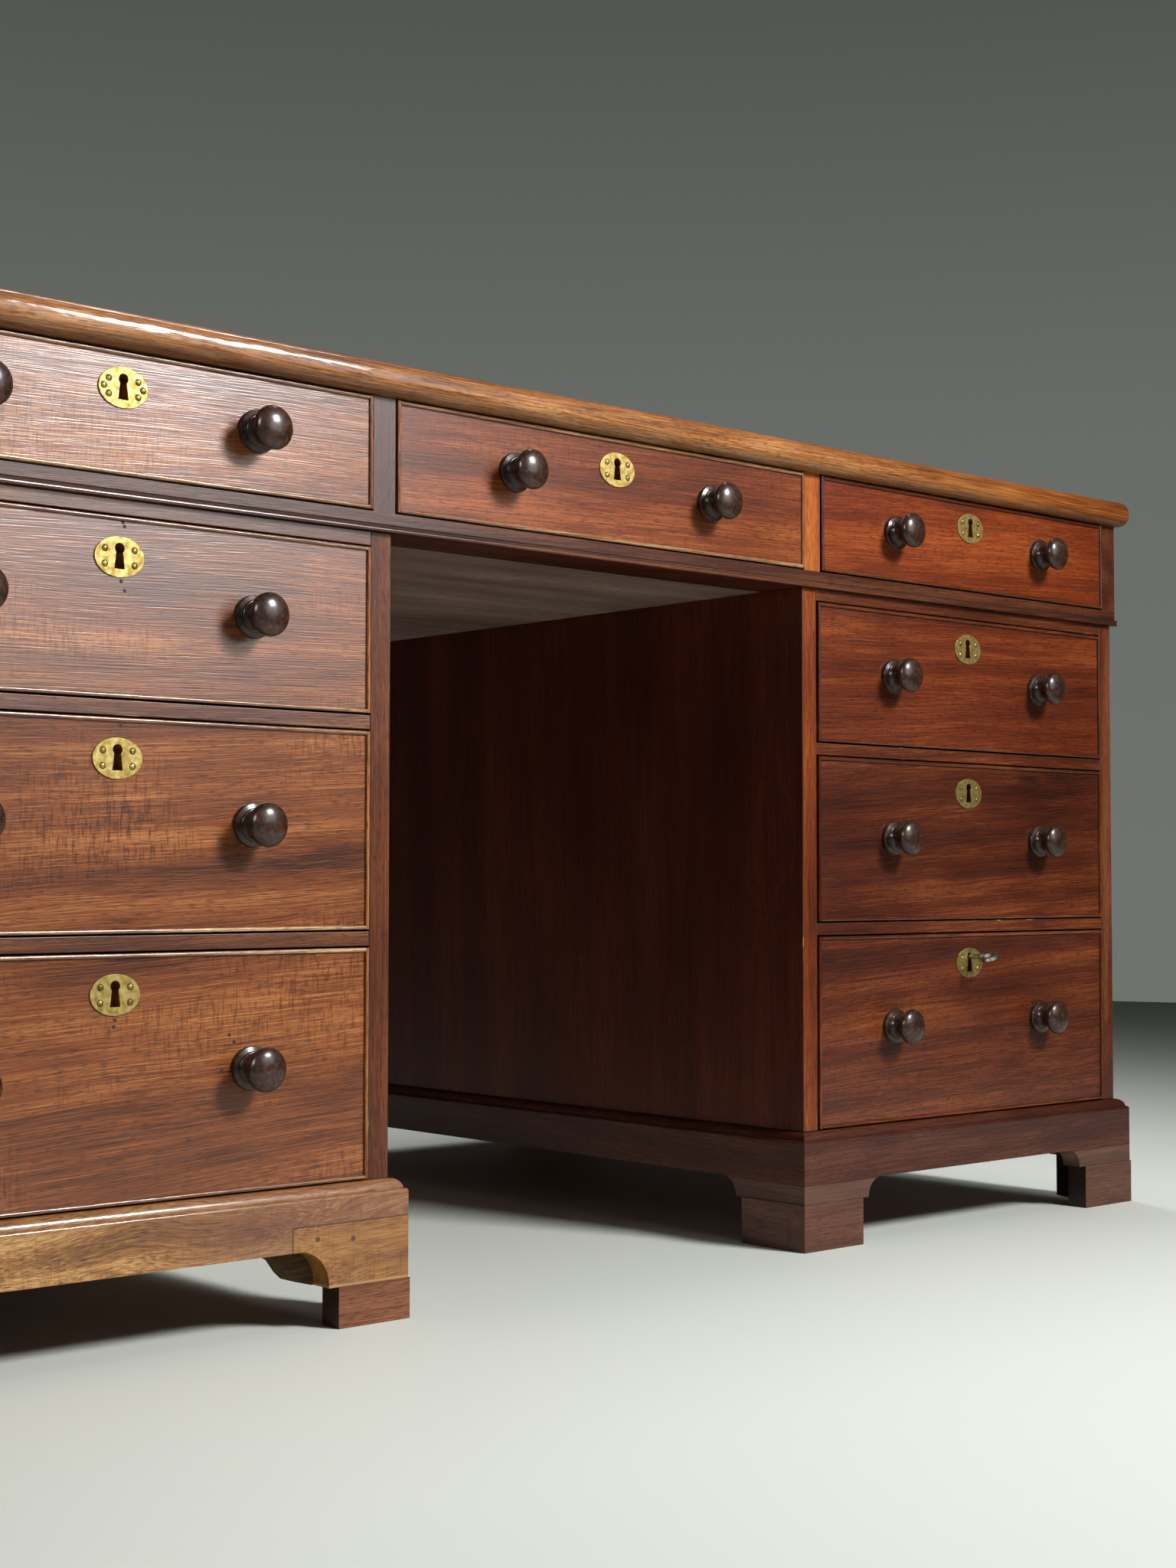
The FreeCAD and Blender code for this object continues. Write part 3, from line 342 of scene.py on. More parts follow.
def sheet_brass(name, deep, middle, bright):
    """Rolled brass, once polished, now with brown tarnish in patches: yellow metal with soft reflections."""
    material, tree = blank_material(name)
    coords = add(tree, "ShaderNodeTexCoord").outputs["Object"]
    tarnish = add(tree, "ShaderNodeTexNoise", {}, {"Vector": coords, "Scale": 1 / (5 * MM), "Detail": 5.0})
    colour = add(tree, "ShaderNodeValToRGB", {}, {"Fac": tarnish.outputs["Fac"]}, [
        (0.3, deep), (0.48, middle), (0.66, bright)])
    rough = add(tree, "ShaderNodeMapRange", {}, {
        "Value": tarnish.outputs["Fac"], "From Min": 0.3, "From Max": 0.7, "To Min": 0.56, "To Max": 0.42})
    return finish_material(material, add(tree, "ShaderNodeBsdfPrincipled", {}, {
        "Base Color": colour.outputs["Color"], "Metallic": 1.0, "Roughness": rough.outputs["Result"]}))


def forged_steel():
    """Key and bolt: forged steel rubbed bright by use, with darker pits."""
    material, tree = blank_material("worn_forged_steel")
    coords = add(tree, "ShaderNodeTexCoord").outputs["Object"]
    pits = add(tree, "ShaderNodeTexNoise", {}, {"Vector": coords, "Scale": 1 / (4 * MM), "Detail": 3.0})
    colour = add(tree, "ShaderNodeValToRGB", {}, {"Fac": pits.outputs["Fac"]}, [
        (0.35, "#6d6660"), (0.6, "#b7b2ab")])
    return finish_material(material, add(tree, "ShaderNodeBsdfPrincipled", {}, {
        "Base Color": colour.outputs["Color"], "Metallic": 1.0, "Roughness": 0.32}))


def tooled_hide(half_x, half_y):
    """Writing leather: green hide with a pebbled skin, and two gilt lines tooled round its edge."""
    material, tree = blank_material("tooled_green_hide")
    coords = add(tree, "ShaderNodeTexCoord").outputs["Object"]
    place = add(tree, "ShaderNodeSeparateXYZ", {}, {"Vector": coords})
    margins = []
    for axis, half in (("X", half_x), ("Y", half_y)):
        away = add(tree, "ShaderNodeMath", {"operation": "ABSOLUTE"}, {0: place.outputs[axis]}).outputs[0]
        margins.append(add(tree, "ShaderNodeMath", {"operation": "SUBTRACT"}, {0: half, 1: away}).outputs[0])
    margin = add(tree, "ShaderNodeMath", {"operation": "MINIMUM"}, {0: margins[0], 1: margins[1]}).outputs[0]
    lines = []
    for inset, half_width in ((24 * MM, 1.4 * MM), (33 * MM, 0.7 * MM)):
        lines.append(add(tree, "ShaderNodeMath", {"operation": "COMPARE"}, {
            0: margin, 1: inset, 2: half_width}).outputs[0])
    gilt = add(tree, "ShaderNodeMath", {"operation": "MAXIMUM"}, {0: lines[0], 1: lines[1]}).outputs[0]
    pebbles = add(tree, "ShaderNodeTexVoronoi", {}, {"Vector": coords, "Scale": 1 / (2.2 * MM)})
    clouds = add(tree, "ShaderNodeTexNoise", {}, {"Vector": coords, "Scale": 1 / (160 * MM), "Detail": 4.0})
    hide = add(tree, "ShaderNodeValToRGB", {}, {"Fac": clouds.outputs["Fac"]}, [
        (0.35, "#243722"), (0.55, "#2d432a"), (0.72, "#3a5033")])
    colour = add(tree, "ShaderNodeMix", {"data_type": "RGBA"}, {
        "Factor": gilt, "A": hide.outputs["Color"], "B": linear("#a98a4a")}).outputs["Result"]
    bump = add(tree, "ShaderNodeBump", {}, {
        "Height": pebbles.outputs["Distance"], "Strength": 0.25, "Distance": 0.3 * MM})
    return finish_material(material, add(tree, "ShaderNodeBsdfPrincipled", {}, {
        "Base Color": colour, "Metallic": gilt, "Roughness": 0.5, "Normal": bump.outputs["Normal"]}))


def filler_and_pin_shade():
    """Dark wax and dust in old nail and screw holes, matt and nearly black; round each pin head it is
    painted shade of the sunk hole, with dirt.
    """
    material, tree = blank_material("dark_filling_wax_and_pin_shade")
    return finish_material(material, add(tree, "ShaderNodeBsdfPrincipled", {}, {
        "Base Color": linear("#1a0d08"), "Roughness": 0.7}))


# Tones of the woods, dark, middle and pale
FADED = ("#3d1b0a", "#7d421c", "#b6763e")
WARM = ("#3a1505", "#70320f", "#a55a26")
RUDDY = ("#3c1405", "#722b06", "#a04d18")
RUSSET = ("#320f04", "#612509", "#8e481c")
DEEP = ("#270c04", "#52200a", "#82421c")
SHADED = ("#34130a", "#4f1e0f", "#6a3019")
GOLDEN = ("#371a06", "#98642b", "#d8ab6c")
DARK = ("#240d06", "#431b0d", "#643624")
BARE = ("#6d4c2b", "#94714a", "#b5946a")

# Finish of a drawer's front by words in the drawer's name, where the last words found hold
FRONTS = {
    "": timber("faded_mahogany_front", "X", FADED, stripe_mm=26, slope=0.07, ripple=0.26, polish=0.4),
    "left_top": timber("waxed_mahogany_front", "X", FADED, stripe_mm=26, slope=0.04, ripple=0.2,
                       polish=1.0, blur=0.24, sunk_mm=0.26),
    "right": timber("deep_mahogany_front", "X", DEEP, slope=0.05, ripple=0.06, polish=0.5),
    "right_top": timber("russet_mahogany_front", "X", RUSSET, slope=0.05, ripple=0.06, polish=0.5),
    "frieze_left": timber("sunned_mahogany_front", "X", FADED, stripe_mm=26, slope=0.04, ripple=0.2,
                          polish=0.6, blur=0.24, sunk_mm=0.3),
    "frieze_middle": timber("warm_mahogany_front", "X", WARM, slope=0.04, ripple=0.1, polish=0.5),
    "frieze_right": timber("ruddy_mahogany_front", "X", RUDDY, slope=0.05, ripple=0.06, polish=0.6),
}
RAIL = timber("mahogany_rail", "X", ("#2f1308", "#592c14", "#86522c"), stripe_mm=14, polish=0.7,
              dents=3.0)
RAIL_WARM = timber("warm_mahogany_rail", "X", ("#2c1005", "#57240c", "#8a4a20"), stripe_mm=14, polish=0.5)
RAIL_FRIEZE = timber("frieze_rail", "X", ("#1f0a03", "#3f190a", "#66371b"), stripe_mm=14, polish=0.5,
                     dents=3.0)
END = timber("mahogany_end", "Y", ("#2a0f05", "#52240f", "#7e4824"), stripe_mm=30, polish=0.5)
# Bead tones. The pale level and upright ones are partly rubbed wear and partly a painted highlight where the
# beads catch the light
PALE_BEAD = ("#4a2815", "#875a36", "#d0a878")
UPRIGHT_BEAD = ("#3c1c0b", "#7a4620", "#b67a46")
DARK_BEAD = ("#2c1006", "#54240e", "#8a4c24")
# Finishes of the level and of the upright beads round a drawer's front, by the side of the desk. The left
# side's beads are paler: rubbed wear and a painted highlight.
BEADS = {
    "left": (timber("rubbed_bead_with_painted_highlight", "X", PALE_BEAD, stripe_mm=18, roughness=0.3, polish=0.6, blur=0.16,
                    dents=6.0),
             timber("rubbed_upright_bead_with_painted_highlight", "Z", UPRIGHT_BEAD, stripe_mm=18, roughness=0.3, polish=0.4,
                    blur=0.2, dents=6.0)),
    "right": (timber("deep_bead", "X", DARK_BEAD, stripe_mm=18, roughness=0.3, polish=0.4, blur=0.2,
                     dents=6.0),
              timber("deep_upright_bead", "Z", DARK_BEAD, stripe_mm=18, roughness=0.3, polish=0.4,
                     blur=0.2, dents=6.0)),
}
STILE_LEFT = timber("mahogany_stile", "Z", ("#2b0f06", "#51240f", "#76411f"), stripe_mm=14, polish=0.2)
STILE_RIGHT = timber("warm_mahogany_stile", "Z", ("#411605", "#743009", "#9e531b"), stripe_mm=14, polish=0.3)
STILE_OUTER = timber("deep_mahogany_stile", "Z", ("#2c0f06", "#50220f", "#7a4322"), stripe_mm=14, polish=0.3)
STILE_DARK = timber("dark_mahogany_stile", "Z", ("#2a120a", "#4a2617", "#6e4630"), stripe_mm=12, polish=0.6)
STILE_PALE = timber("pale_mahogany_stile", "Z", ("#6e2f12", "#a5551a", "#c3762f"), stripe_mm=12, polish=0.5)
SIDE = timber("mahogany_side_panel", "Z", SHADED, stripe_mm=34, polish=0.15)
SLAB = timber("mahogany_top", "X", ("#3e1c09", "#9e6330", "#daa972"), stripe_mm=20, slope=0.0, polish=0.4,
              blur=0.1, dents=11.0, paint=sunned_slab_with_painted_shade)
GOLDEN_X = timber("faded_plinth_front", "X", GOLDEN, wander_mm=40, length=0.4, polish=0.5)
GOLDEN_Y = timber("faded_plinth_side", "Y", GOLDEN, wander_mm=40, length=0.4, polish=0.5)
MENDED = timber("mended_plinth_front", "X", GOLDEN, wander_mm=40, length=0.4, ripple=0.1, polish=0.5,
                blur=0.14, dents=3.0, paint=mended_plinth)
DARK_X = timber("dark_plinth_front", "X", DARK, polish=0.25, dents=2.0, paint=pieced_plinth)
DARK_Y = timber("dark_plinth_side", "Y", DARK, polish=0.15, dents=2.0, paint=pieced_plinth)
FOOT_WARM = ("#452011", "#79472d", "#9a6848")
FOOT_DULL = ("#3a2017", "#5f3a2b", "#7c5645")
# Finishes of a foot's boards along the desk and of those across it, by pedestal, with painted shade on inner
# faces
FEET = {
    "left": (timber("mahogany_foot", "X", FOOT_WARM, stripe_mm=18, polish=0.2, paint=foot_with_painted_shade),
             timber("mahogany_side_foot", "Y", FOOT_WARM, stripe_mm=18, polish=0.2, paint=foot_with_painted_shade)),
    "right": (timber("dull_mahogany_foot", "X", FOOT_DULL, stripe_mm=18, polish=0.2, paint=foot_with_painted_shade),
              timber("dull_mahogany_side_foot", "Y", FOOT_DULL, stripe_mm=18, polish=0.2,
                     paint=foot_with_painted_shade)),
}
LINING_Y = timber("oak_drawer_side", "Y", BARE, stripe_mm=18, roughness=0.65, polish=0.0)
LINING_X = timber("pine_drawer_bottom", "X", ("#7a5632", "#a07b50", "#c09c70"), stripe_mm=40,
                  roughness=0.7, polish=0.0)
UNDERSIDE = timber("bare_pine_underside", "X", ("#55423a", "#7d6558", "#a18a79"), stripe_mm=45,
                   roughness=0.8, polish=0.0)
SAWN = timber("rough_sawn_backing", "X", ("#2c2015", "#4b3a24", "#6b5739"), stripe_mm=16,
              roughness=0.8, polish=0.0)
WORN = rubbed_edge("rubbed_pale_edge", [(0.35, "#5f3019"), (0.5, "#93603c"), (0.68, "#c49a6c")])
NICKED = rubbed_edge("nicked_dark_edge", [(0.5, "#44200f"), (0.65, "#5e3119"), (0.73, "#c0936a")])
KNOB = turned_hardwood()
BRASS = sheet_brass("tarnished_sheet_brass", "#75632f", "#958148", "#b09d66")
PIN_BRASS = sheet_brass("dark_brass_pins", "#57461c", "#8a7436", "#b39a52")
STEEL = forged_steel()
FILLER_AND_PIN_SHADE = filler_and_pin_shade()


# Shapes

# Points nearer than this are one
MERGE_DISTANCE = 0.002 * MM
# Edges that bend less than this are shaded smooth
SMOOTH_ANGLE = math.radians(35)
# Edges that bend more than this are eased
EASE_ANGLE = math.radians(40)
# Faces that bend less than this against each other are one
FLAT_ANGLE = math.radians(0.5)
# A face that is no deeper than this faces the front or the rear
FLAT_DEPTH = 0.01 * MM
ARC_STEPS = 8
LATHE_SEGMENTS = 40
# A profile's point nearer than this to the axis lies on it
ON_AXIS = 1e-7


def solids(node):
    """Each solid of a CAD node as its faces, lists of corner places, with the corners of its box."""
    merged = bmesh.new()
    merged.from_mesh(frame["nodes"][node].data)
    bmesh.ops.remove_doubles(merged, verts=merged.verts, dist=MERGE_DISTANCE)
    left = set(merged.faces)
    found = []
    while left:
        stack = [left.pop()]
        faces = []
        while stack:
            face = stack.pop()
            faces.append([tuple(corner.co) for corner in face.verts])
            for edge in face.edges:
                if len(edge.link_faces) == 2:
                    for other in edge.link_faces:
                        if other in left:
                            left.remove(other)
                            stack.append(other)
        corners = [corner for face in faces for corner in face]
        low = Vector([min(corner[axis] for corner in corners) for axis in range(3)])
        high = Vector([max(corner[axis] for corner in corners) for axis in range(3)])
        found.append((faces, low, high))
    merged.free()
    return found


def new_object(name, mesh):
    made = bpy.data.objects.new(name, mesh)
    bpy.context.scene.collection.objects.link(made)
    return made


def smooth_by_angle(mesh):
    mesh.polygons.foreach_set("use_smooth", [True] * len(mesh.polygons))
    mesh.set_sharp_from_angle(angle=SMOOTH_ANGLE)


def ease_edges(piece, width, worn=None):
    """Rounds a piece's edges, in the rubbed finish where one is given."""
    ease = piece.modifiers.new("eased_edges", "BEVEL")
    ease.width = width
    ease.segments = 2
    ease.limit_method = "ANGLE"
    ease.angle_limit = EASE_ANGLE
    ease.harden_normals = True
    if worn is not None:
        piece.data.materials.append(worn)
        ease.material = len(piece.data.materials) - 1


def stand_for(piece, node):
    """The piece takes the place of a CAD node on the same body."""
    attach(piece, bodies_of[node])
    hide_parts(node)


def dress(node, choose, ease, worn=None):
    """A copy of a CAD node with eased edges. Each solid's box chooses its finish, and a second one for the
    faces at its front and rear where these differ."""
    shell = bmesh.new()
    finishes = []
    for faces, low, high in solids(node):
        chosen = choose(low, high)
        body, edge = chosen if isinstance(chosen, tuple) else (chosen, chosen)
        corners = {}
        for face in faces:
            for corner in face:
                if corner not in corners:
                    corners[corner] = shell.verts.new(corner)
            depths = [corner[1] for corner in face]
            finish = edge if max(depths) - min(depths) < FLAT_DEPTH else body
            if finish not in finishes:
                finishes.append(finish)
            made = shell.faces.new([corners[corner] for corner in face])
            made.material_index = finishes.index(finish)
    bmesh.ops.dissolve_limit(shell, angle_limit=FLAT_ANGLE, verts=shell.verts, edges=shell.edges,
                             delimit={"MATERIAL"})
    mesh = bpy.data.meshes.new(f"{node}_finished")
    shell.to_mesh(mesh)
    shell.free()
    for finish in finishes:
        mesh.materials.append(finish)
    smooth_by_angle(mesh)
    piece = new_object(f"{node}_finished", mesh)
    if ease:
        ease_edges(piece, ease, worn)
    stand_for(piece, node)


def bulged(points):
    """Profile through (x, y, bulge) points. A bulge is the arc's rise over its chord, to the right of the
    way."""
    path = [Vector(points[0][:2])]
    for x, y, bulge in points[1:]:
        start, end = path[-1], Vector((x, y))
        if not bulge:
            path.append(end)
            continue
        way = end - start
        angle = 4 * math.atan(2 * bulge)
        centre = (start + end) / 2 + Vector((-way.y, way.x)) / (2 * math.tan(angle / 2))
        for step in range(1, ARC_STEPS + 1):
            path.append(centre + Matrix.Rotation(angle * step / ARC_STEPS, 2) @ (start - centre))
    return path


def lathe(shell, profile, matrix):
    """Turns a profile of (radius, height) about Z into a shell, closed where it meets the axis."""
    rings = []
    for radius, height in profile:
        count = 1 if radius < ON_AXIS else LATHE_SEGMENTS
        angles = [2 * math.pi * step / LATHE_SEGMENTS for step in range(count)]
        rings.append([shell.verts.new(matrix @ Vector((
            radius * math.cos(angle), radius * math.sin(angle), height))) for angle in angles])
    for low, high in zip(rings, rings[1:]):
        for step in range(LATHE_SEGMENTS):
            after = step + 1
            ring = [low[step % len(low)], low[after % len(low)],
                    high[after % len(high)], high[step % len(high)]]
            corners = list(dict.fromkeys(ring))
            if len(corners) > 2:
                shell.faces.new(corners)


def shell_object(name, shell, material):
    bmesh.ops.recalc_face_normals(shell, faces=shell.faces)
    mesh = bpy.data.meshes.new(name)
    shell.to_mesh(mesh)
    shell.free()
    mesh.materials.append(material)
    smooth_by_angle(mesh)
    return new_object(name, mesh)


# Carcass

# Sizes and places by which the solids of a node are told apart
BOARD_THICKNESS = 30 * MM
BEYOND_PEDESTALS = 700 * MM
DIVIDER_THICKNESS = 14 * MM
DIVIDER_HEIGHT = 20 * MM
DUST_BOARD_THICKNESS = 10 * MM
DUST_BOARD_DEPTH = 300 * MM
FOOT_BOTTOM = 1 * MM
BACKING_WIDTH = 100 * MM
BEAD_WIDTH = 5 * MM
DRAWER_SIDE_THICKNESS = 12 * MM
DOOR_RAIL_HEIGHT = 100 * MM


def pedestal_finish(side):
    stile, rail = (STILE_LEFT, RAIL) if side == "left" else (STILE_RIGHT, RAIL_WARM)

    def choose(low, high):
        size = high - low
        if size.x < BOARD_THICKNESS:
            return SIDE, (STILE_OUTER if low.x > BEYOND_PEDESTALS else stile)
        return LINING_X if size.y < BOARD_THICKNESS else rail
    return choose


def frieze_finish(low, high):
    size = high - low
    middle = (low + high) / 2
    if size.x < BOARD_THICKNESS and abs(middle.x) > BEYOND_PEDESTALS:
        return END
    if size.x < BOARD_THICKNESS:
        return STILE_PALE if middle.x > 0 else STILE_DARK
    if size.y < DIVIDER_THICKNESS and size.z > DIVIDER_HEIGHT:
        return LINING_X
    if size.z > DUST_BOARD_THICKNESS and size.y > DUST_BOARD_DEPTH:
        return UNDERSIDE
    return RAIL_FRIEZE if size.x > size.y else END


def plinth_finish(front, boards_x, boards_y, feet):
    def choose(low, high):
        size = high - low
        if low.z < FOOT_BOTTOM:
            return feet[0] if size.x > size.y else feet[1]
        if size.x < BACKING_WIDTH and size.y < BOARD_THICKNESS:
            return SAWN
        if size.x < size.y:
            return boards_y
        return front if low.y < 0 else boards_x
    return choose


def front_finish(board, beads):
    def choose(low, high):
        size = high - low
        if size.x < BEAD_WIDTH:
            return beads[1]
        return beads[0] if size.z < BEAD_WIDTH else board
    return choose


def box_finish(low, high):
    return LINING_Y if (high - low).x < DRAWER_SIDE_THICKNESS else LINING_X


def door_finish(low, high):
    return RAIL_FRIEZE if (high - low).z < DOOR_RAIL_HEIGHT else SIDE


def one_finish(material):
    return lambda low, high: material


def dress_carcass():
    dress("top_slab", one_finish(SLAB), ease=0)
    leather_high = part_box("writing_leather")[1]
    dress("writing_leather", one_finish(tooled_hide(leather_high.x, leather_high.y)), ease=0.4 * MM)
    dress("frieze_frame", frieze_finish, ease=0.8 * MM, worn=NICKED)
    for side in ("left", "right"):
        dress(f"pedestal_{side}", pedestal_finish(side), ease=0.8 * MM, worn=NICKED)
        dress(f"{side}_door_leaf", door_finish, ease=0.8 * MM, worn=NICKED)
        dress(f"{side}_door_fittings", one_finish(BRASS), ease=0.3 * MM)
    mended = plinth_finish(MENDED, GOLDEN_X, GOLDEN_Y, FEET["left"])
    dark = plinth_finish(DARK_X, DARK_X, DARK_Y, FEET["right"])
    dress("plinth_left", mended, ease=1.2 * MM, worn=WORN)
    dress("plinth_right", dark, ease=1.2 * MM, worn=NICKED)
    dress("hinge_leaves", one_finish(BRASS), ease=0.3 * MM)


# Drawers

# Half profile of a knob up to its ball, in millimetres of radius and height, with the bulge of each stretch
KNOB_FOOT = [(0, 0, 0), (16.7, 0, 0), (16.7, 4, 0.18), (13.4, 5.2, 0), (12.2, 7, 0.25), (13.4, 18.5, -0.24)]
BALL_RADIUS = 17.5
BALL_HALF_HEIGHT = 7.6
BALL_MIDDLE = 23.4
BALL_STEPS = 14


def knob_profile():
    """Flange, collar, hollow neck and a flattened ball, in metres."""
    path = bulged(KNOB_FOOT)
    first = math.pi - math.asin(path[-1].x / BALL_RADIUS)
    for step in range(1, BALL_STEPS + 1):
        angle = first * (1 - step / BALL_STEPS)
        height = BALL_MIDDLE + BALL_HALF_HEIGHT * math.cos(angle)
        path.append(Vector((BALL_RADIUS * math.sin(angle), height)))
    return [(point.x * MM, point.y * MM) for point in path]


def dress_knobs(node):
    """Two smooth turned knobs where the CAD node has its plain ones."""
    low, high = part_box(node)
    outward = -1 if low.y < 0 else 1
    face_y = high.y if outward < 0 else low.y
    reach = (high.z - low.z) / 2
    shell = bmesh.new()
    for x in (low.x + reach, high.x - reach):
        turn = Matrix.Rotation(math.radians(-90 * outward), 4, "X")
        lathe(shell, knob_profile(), Matrix.Translation((x, face_y, (low.z + high.z) / 2)) @ turn)
    stand_for(shell_object(f"{node}_turned", shell, KNOB), node)


RING_FLATNESS = 0.12


def head_tree():
    """Domed heads in dark rings on the points of a mesh, facing along Y."""
    tree = bpy.data.node_groups.new("domed_heads", "GeometryNodeTree")
    for name, kind in (("Geometry", "Geometry"), ("Head radius", "Float"), ("Dome share", "Float"),
                       ("Flatness", "Float"), ("Head", "Material"), ("Ring", "Material")):
        tree.interface.new_socket(name, in_out="INPUT", socket_type=f"NodeSocket{kind}")
    tree.interface.new_socket("Geometry", in_out="OUTPUT", socket_type="NodeSocketGeometry")
    source = add(tree, "NodeGroupInput").outputs
    dome_radius = add(tree, "ShaderNodeMath", {"operation": "MULTIPLY"}, {
        0: source["Head radius"], 1: source["Dome share"]}).outputs[0]
    both = add(tree, "GeometryNodeJoinGeometry")
    for radius, flatness, finish in ((dome_radius, source["Flatness"], source["Head"]),
                                     (source["Head radius"], RING_FLATNESS, source["Ring"])):
        ball = add(tree, "GeometryNodeMeshUVSphere", {}, {"Segments": 12, "Rings": 6, "Radius": radius})
        flat = add(tree, "ShaderNodeCombineXYZ", {}, {"X": 1.0, "Y": flatness, "Z": 1.0})
        heads = add(tree, "GeometryNodeInstanceOnPoints", {}, {
            "Points": source["Geometry"], "Instance": ball.outputs["Mesh"], "Scale": flat.outputs["Vector"]})
        real = add(tree, "GeometryNodeRealizeInstances", {}, {"Geometry": heads.outputs["Instances"]})
        finished = add(tree, "GeometryNodeSetMaterial", {}, {
            "Geometry": real.outputs["Geometry"], "Material": finish})
        tree.links.new(finished.outputs["Geometry"], both.inputs["Geometry"])
    add(tree, "NodeGroupOutput", {}, {"Geometry": both.outputs["Geometry"]})
    return tree


HEADS = head_tree()


def grow(name, node, points, values):
    """Heads that the geometry tree makes on points, as a plain mesh that rides with a CAD node."""
    seed = bpy.data.meshes.new(f"{name}_points")
    seed.from_pydata([tuple(point) for point in points], [], [])
    carrier = new_object(f"{name}_carrier", seed)
    maker = carrier.modifiers.new("maker", "NODES")
    maker.node_group = HEADS
    for item in HEADS.interface.items_tree:
        if item.in_out == "INPUT" and item.name in values:
            maker[item.identifier] = values[item.name]
    graph = bpy.context.evaluated_depsgraph_get()
    mesh = bpy.data.meshes.new_from_object(carrier.evaluated_get(graph))
    bpy.data.objects.remove(carrier)
    smooth_by_angle(mesh)
    made = new_object(name, mesh)
    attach(made, bodies_of[node])


# Pins of an escutcheon, in millimetres from the middle of its oval. The left frieze drawer has two more.
FOUR_PINS = [(-12.5, 5.8), (12.5, 5.8), (-12.5, -5.8), (12.5, -5.8)]
EXTRA_PINS = {"frieze_left_drawer_lock": [(-16.6, 0), (16.6, 0)]}
# Filled holes of older fittings, in millimetres across and up from the middle of the escutcheon
OLD_HOLES = {
    "left_top_drawer": [(3, 26.5), (4.5, 23.5), (2, -18), (5, -25)],
    "left_middle_drawer": [(3, 25)],
    "left_bottom_drawer": [(0.5, -18.6), (-0.5, -23.7), (100, -34), (104.5, -39.5), (93.5, -60.7)],
}


# An escutcheon is thinner and wider than any other solid of its node
PLATE_THICKNESS = 2 * MM
PLATE_WIDTH = 30 * MM


def escutcheon_middle(node):
    """Middle of the thin oval plate among a node's solids, and the y of the face that it lies on."""
    for faces, low, high in solids(node):
        if high.y - low.y < PLATE_THICKNESS and high.x - low.x > PLATE_WIDTH:
            return (low + high) / 2, (high.y if low.y < 0 else low.y)


def dress_escutcheon(node):
    """Pins through the plate of a lock or of a door's fittings."""
    middle, face_y = escutcheon_middle(node)
    front_y = 2 * middle.y - face_y
    pins = FOUR_PINS + EXTRA_PINS.get(node, [])
    points = [(middle.x + x * MM, front_y, middle.z + z * MM) for x, z in pins]
    # The dark ring round each pin is painted shade in its sunk hole, with dirt
    grow(f"{node}_pins", node, points, {
        "Head radius": 2.8 * MM, "Dome share": 0.8, "Flatness": 0.5, "Head": PIN_BRASS, "Ring": FILLER_AND_PIN_SHADE})
    return middle, face_y


def dress_drawer(name):
    board = [finish for words, finish in FRONTS.items() if words in name][-1]
    beads = BEADS["right" if "right" in name else "left"]
    dress(f"{name}_front", front_finish(board, beads), ease=0.5 * MM)
    dress(f"{name}_box", box_finish, ease=0.5 * MM)
    dress_knobs(f"{name}_knobs")
    lock = f"{name}_lock"
    if lock in frame["nodes"]:
        dress(lock, one_finish(BRASS), ease=0.25 * MM)
        middle, face_y = dress_escutcheon(lock)
        if name in OLD_HOLES:
            points = [(middle.x + x * MM, face_y, middle.z + z * MM) for x, z in OLD_HOLES[name]]
            grow(f"{name}_old_holes", f"{name}_front", points, {
                "Head radius": 1.5 * MM, "Dome share": 0.5, "Flatness": 0.1, "Head": FILLER_AND_PIN_SHADE, "Ring": FILLER_AND_PIN_SHADE})


dress_carcass()
for drawer in [body for body in frame["bodies"] if body.endswith("_drawer")]:
    dress_drawer(drawer)
for fittings in ("left_door_fittings", "right_door_fittings"):
    dress_escutcheon(fittings)
dress("right_bottom_drawer_key", one_finish(STEEL), ease=0.5 * MM)
dress("right_bottom_drawer_bolt", one_finish(STEEL), ease=0.3 * MM)


# Studio

def pale_floor():
    """Painted boards: a plain pale grey paint, almost matt."""
    material, tree = blank_material("pale_floor_paint")
    return finish_material(material, add(tree, "ShaderNodeBsdfPrincipled", {}, {
        "Base Color": linear("#dfe4dc"), "Roughness": 0.6}))


FLOOR_RADIUS = 4.6


def lay_floor():
    shell = bmesh.new()
    bmesh.ops.create_circle(shell, cap_ends=True, radius=FLOOR_RADIUS, segments=128)
    shell_object("floor", shell, pale_floor())


def soft_lamp(name, at, towards, width, height, watts, spread=180, mirrored=True, lighting=True):
    """A lit panel of this size. One that isn't mirrored lights wood and floor alone, and one that isn't
    lighting shows only in polish and metal."""
    lamp = bpy.data.lights.new(name, "AREA")
    lamp.shape = "RECTANGLE"
    lamp.size = width
    lamp.size_y = height
    lamp.energy = watts
    lamp.spread = math.radians(spread)
    made = bpy.data.objects.new(name, lamp)
    bpy.context.scene.collection.objects.link(made)
    made.location = at
    made.rotation_euler = (Vector(towards) - Vector(at)).to_track_quat("-Z", "Y").to_euler()
    made.visible_glossy = mirrored
    made.visible_diffuse = lighting


# Way from the middle of the desk to the lit part of the wall
LIT_WALL = (0.66, 0.75, 0.0)


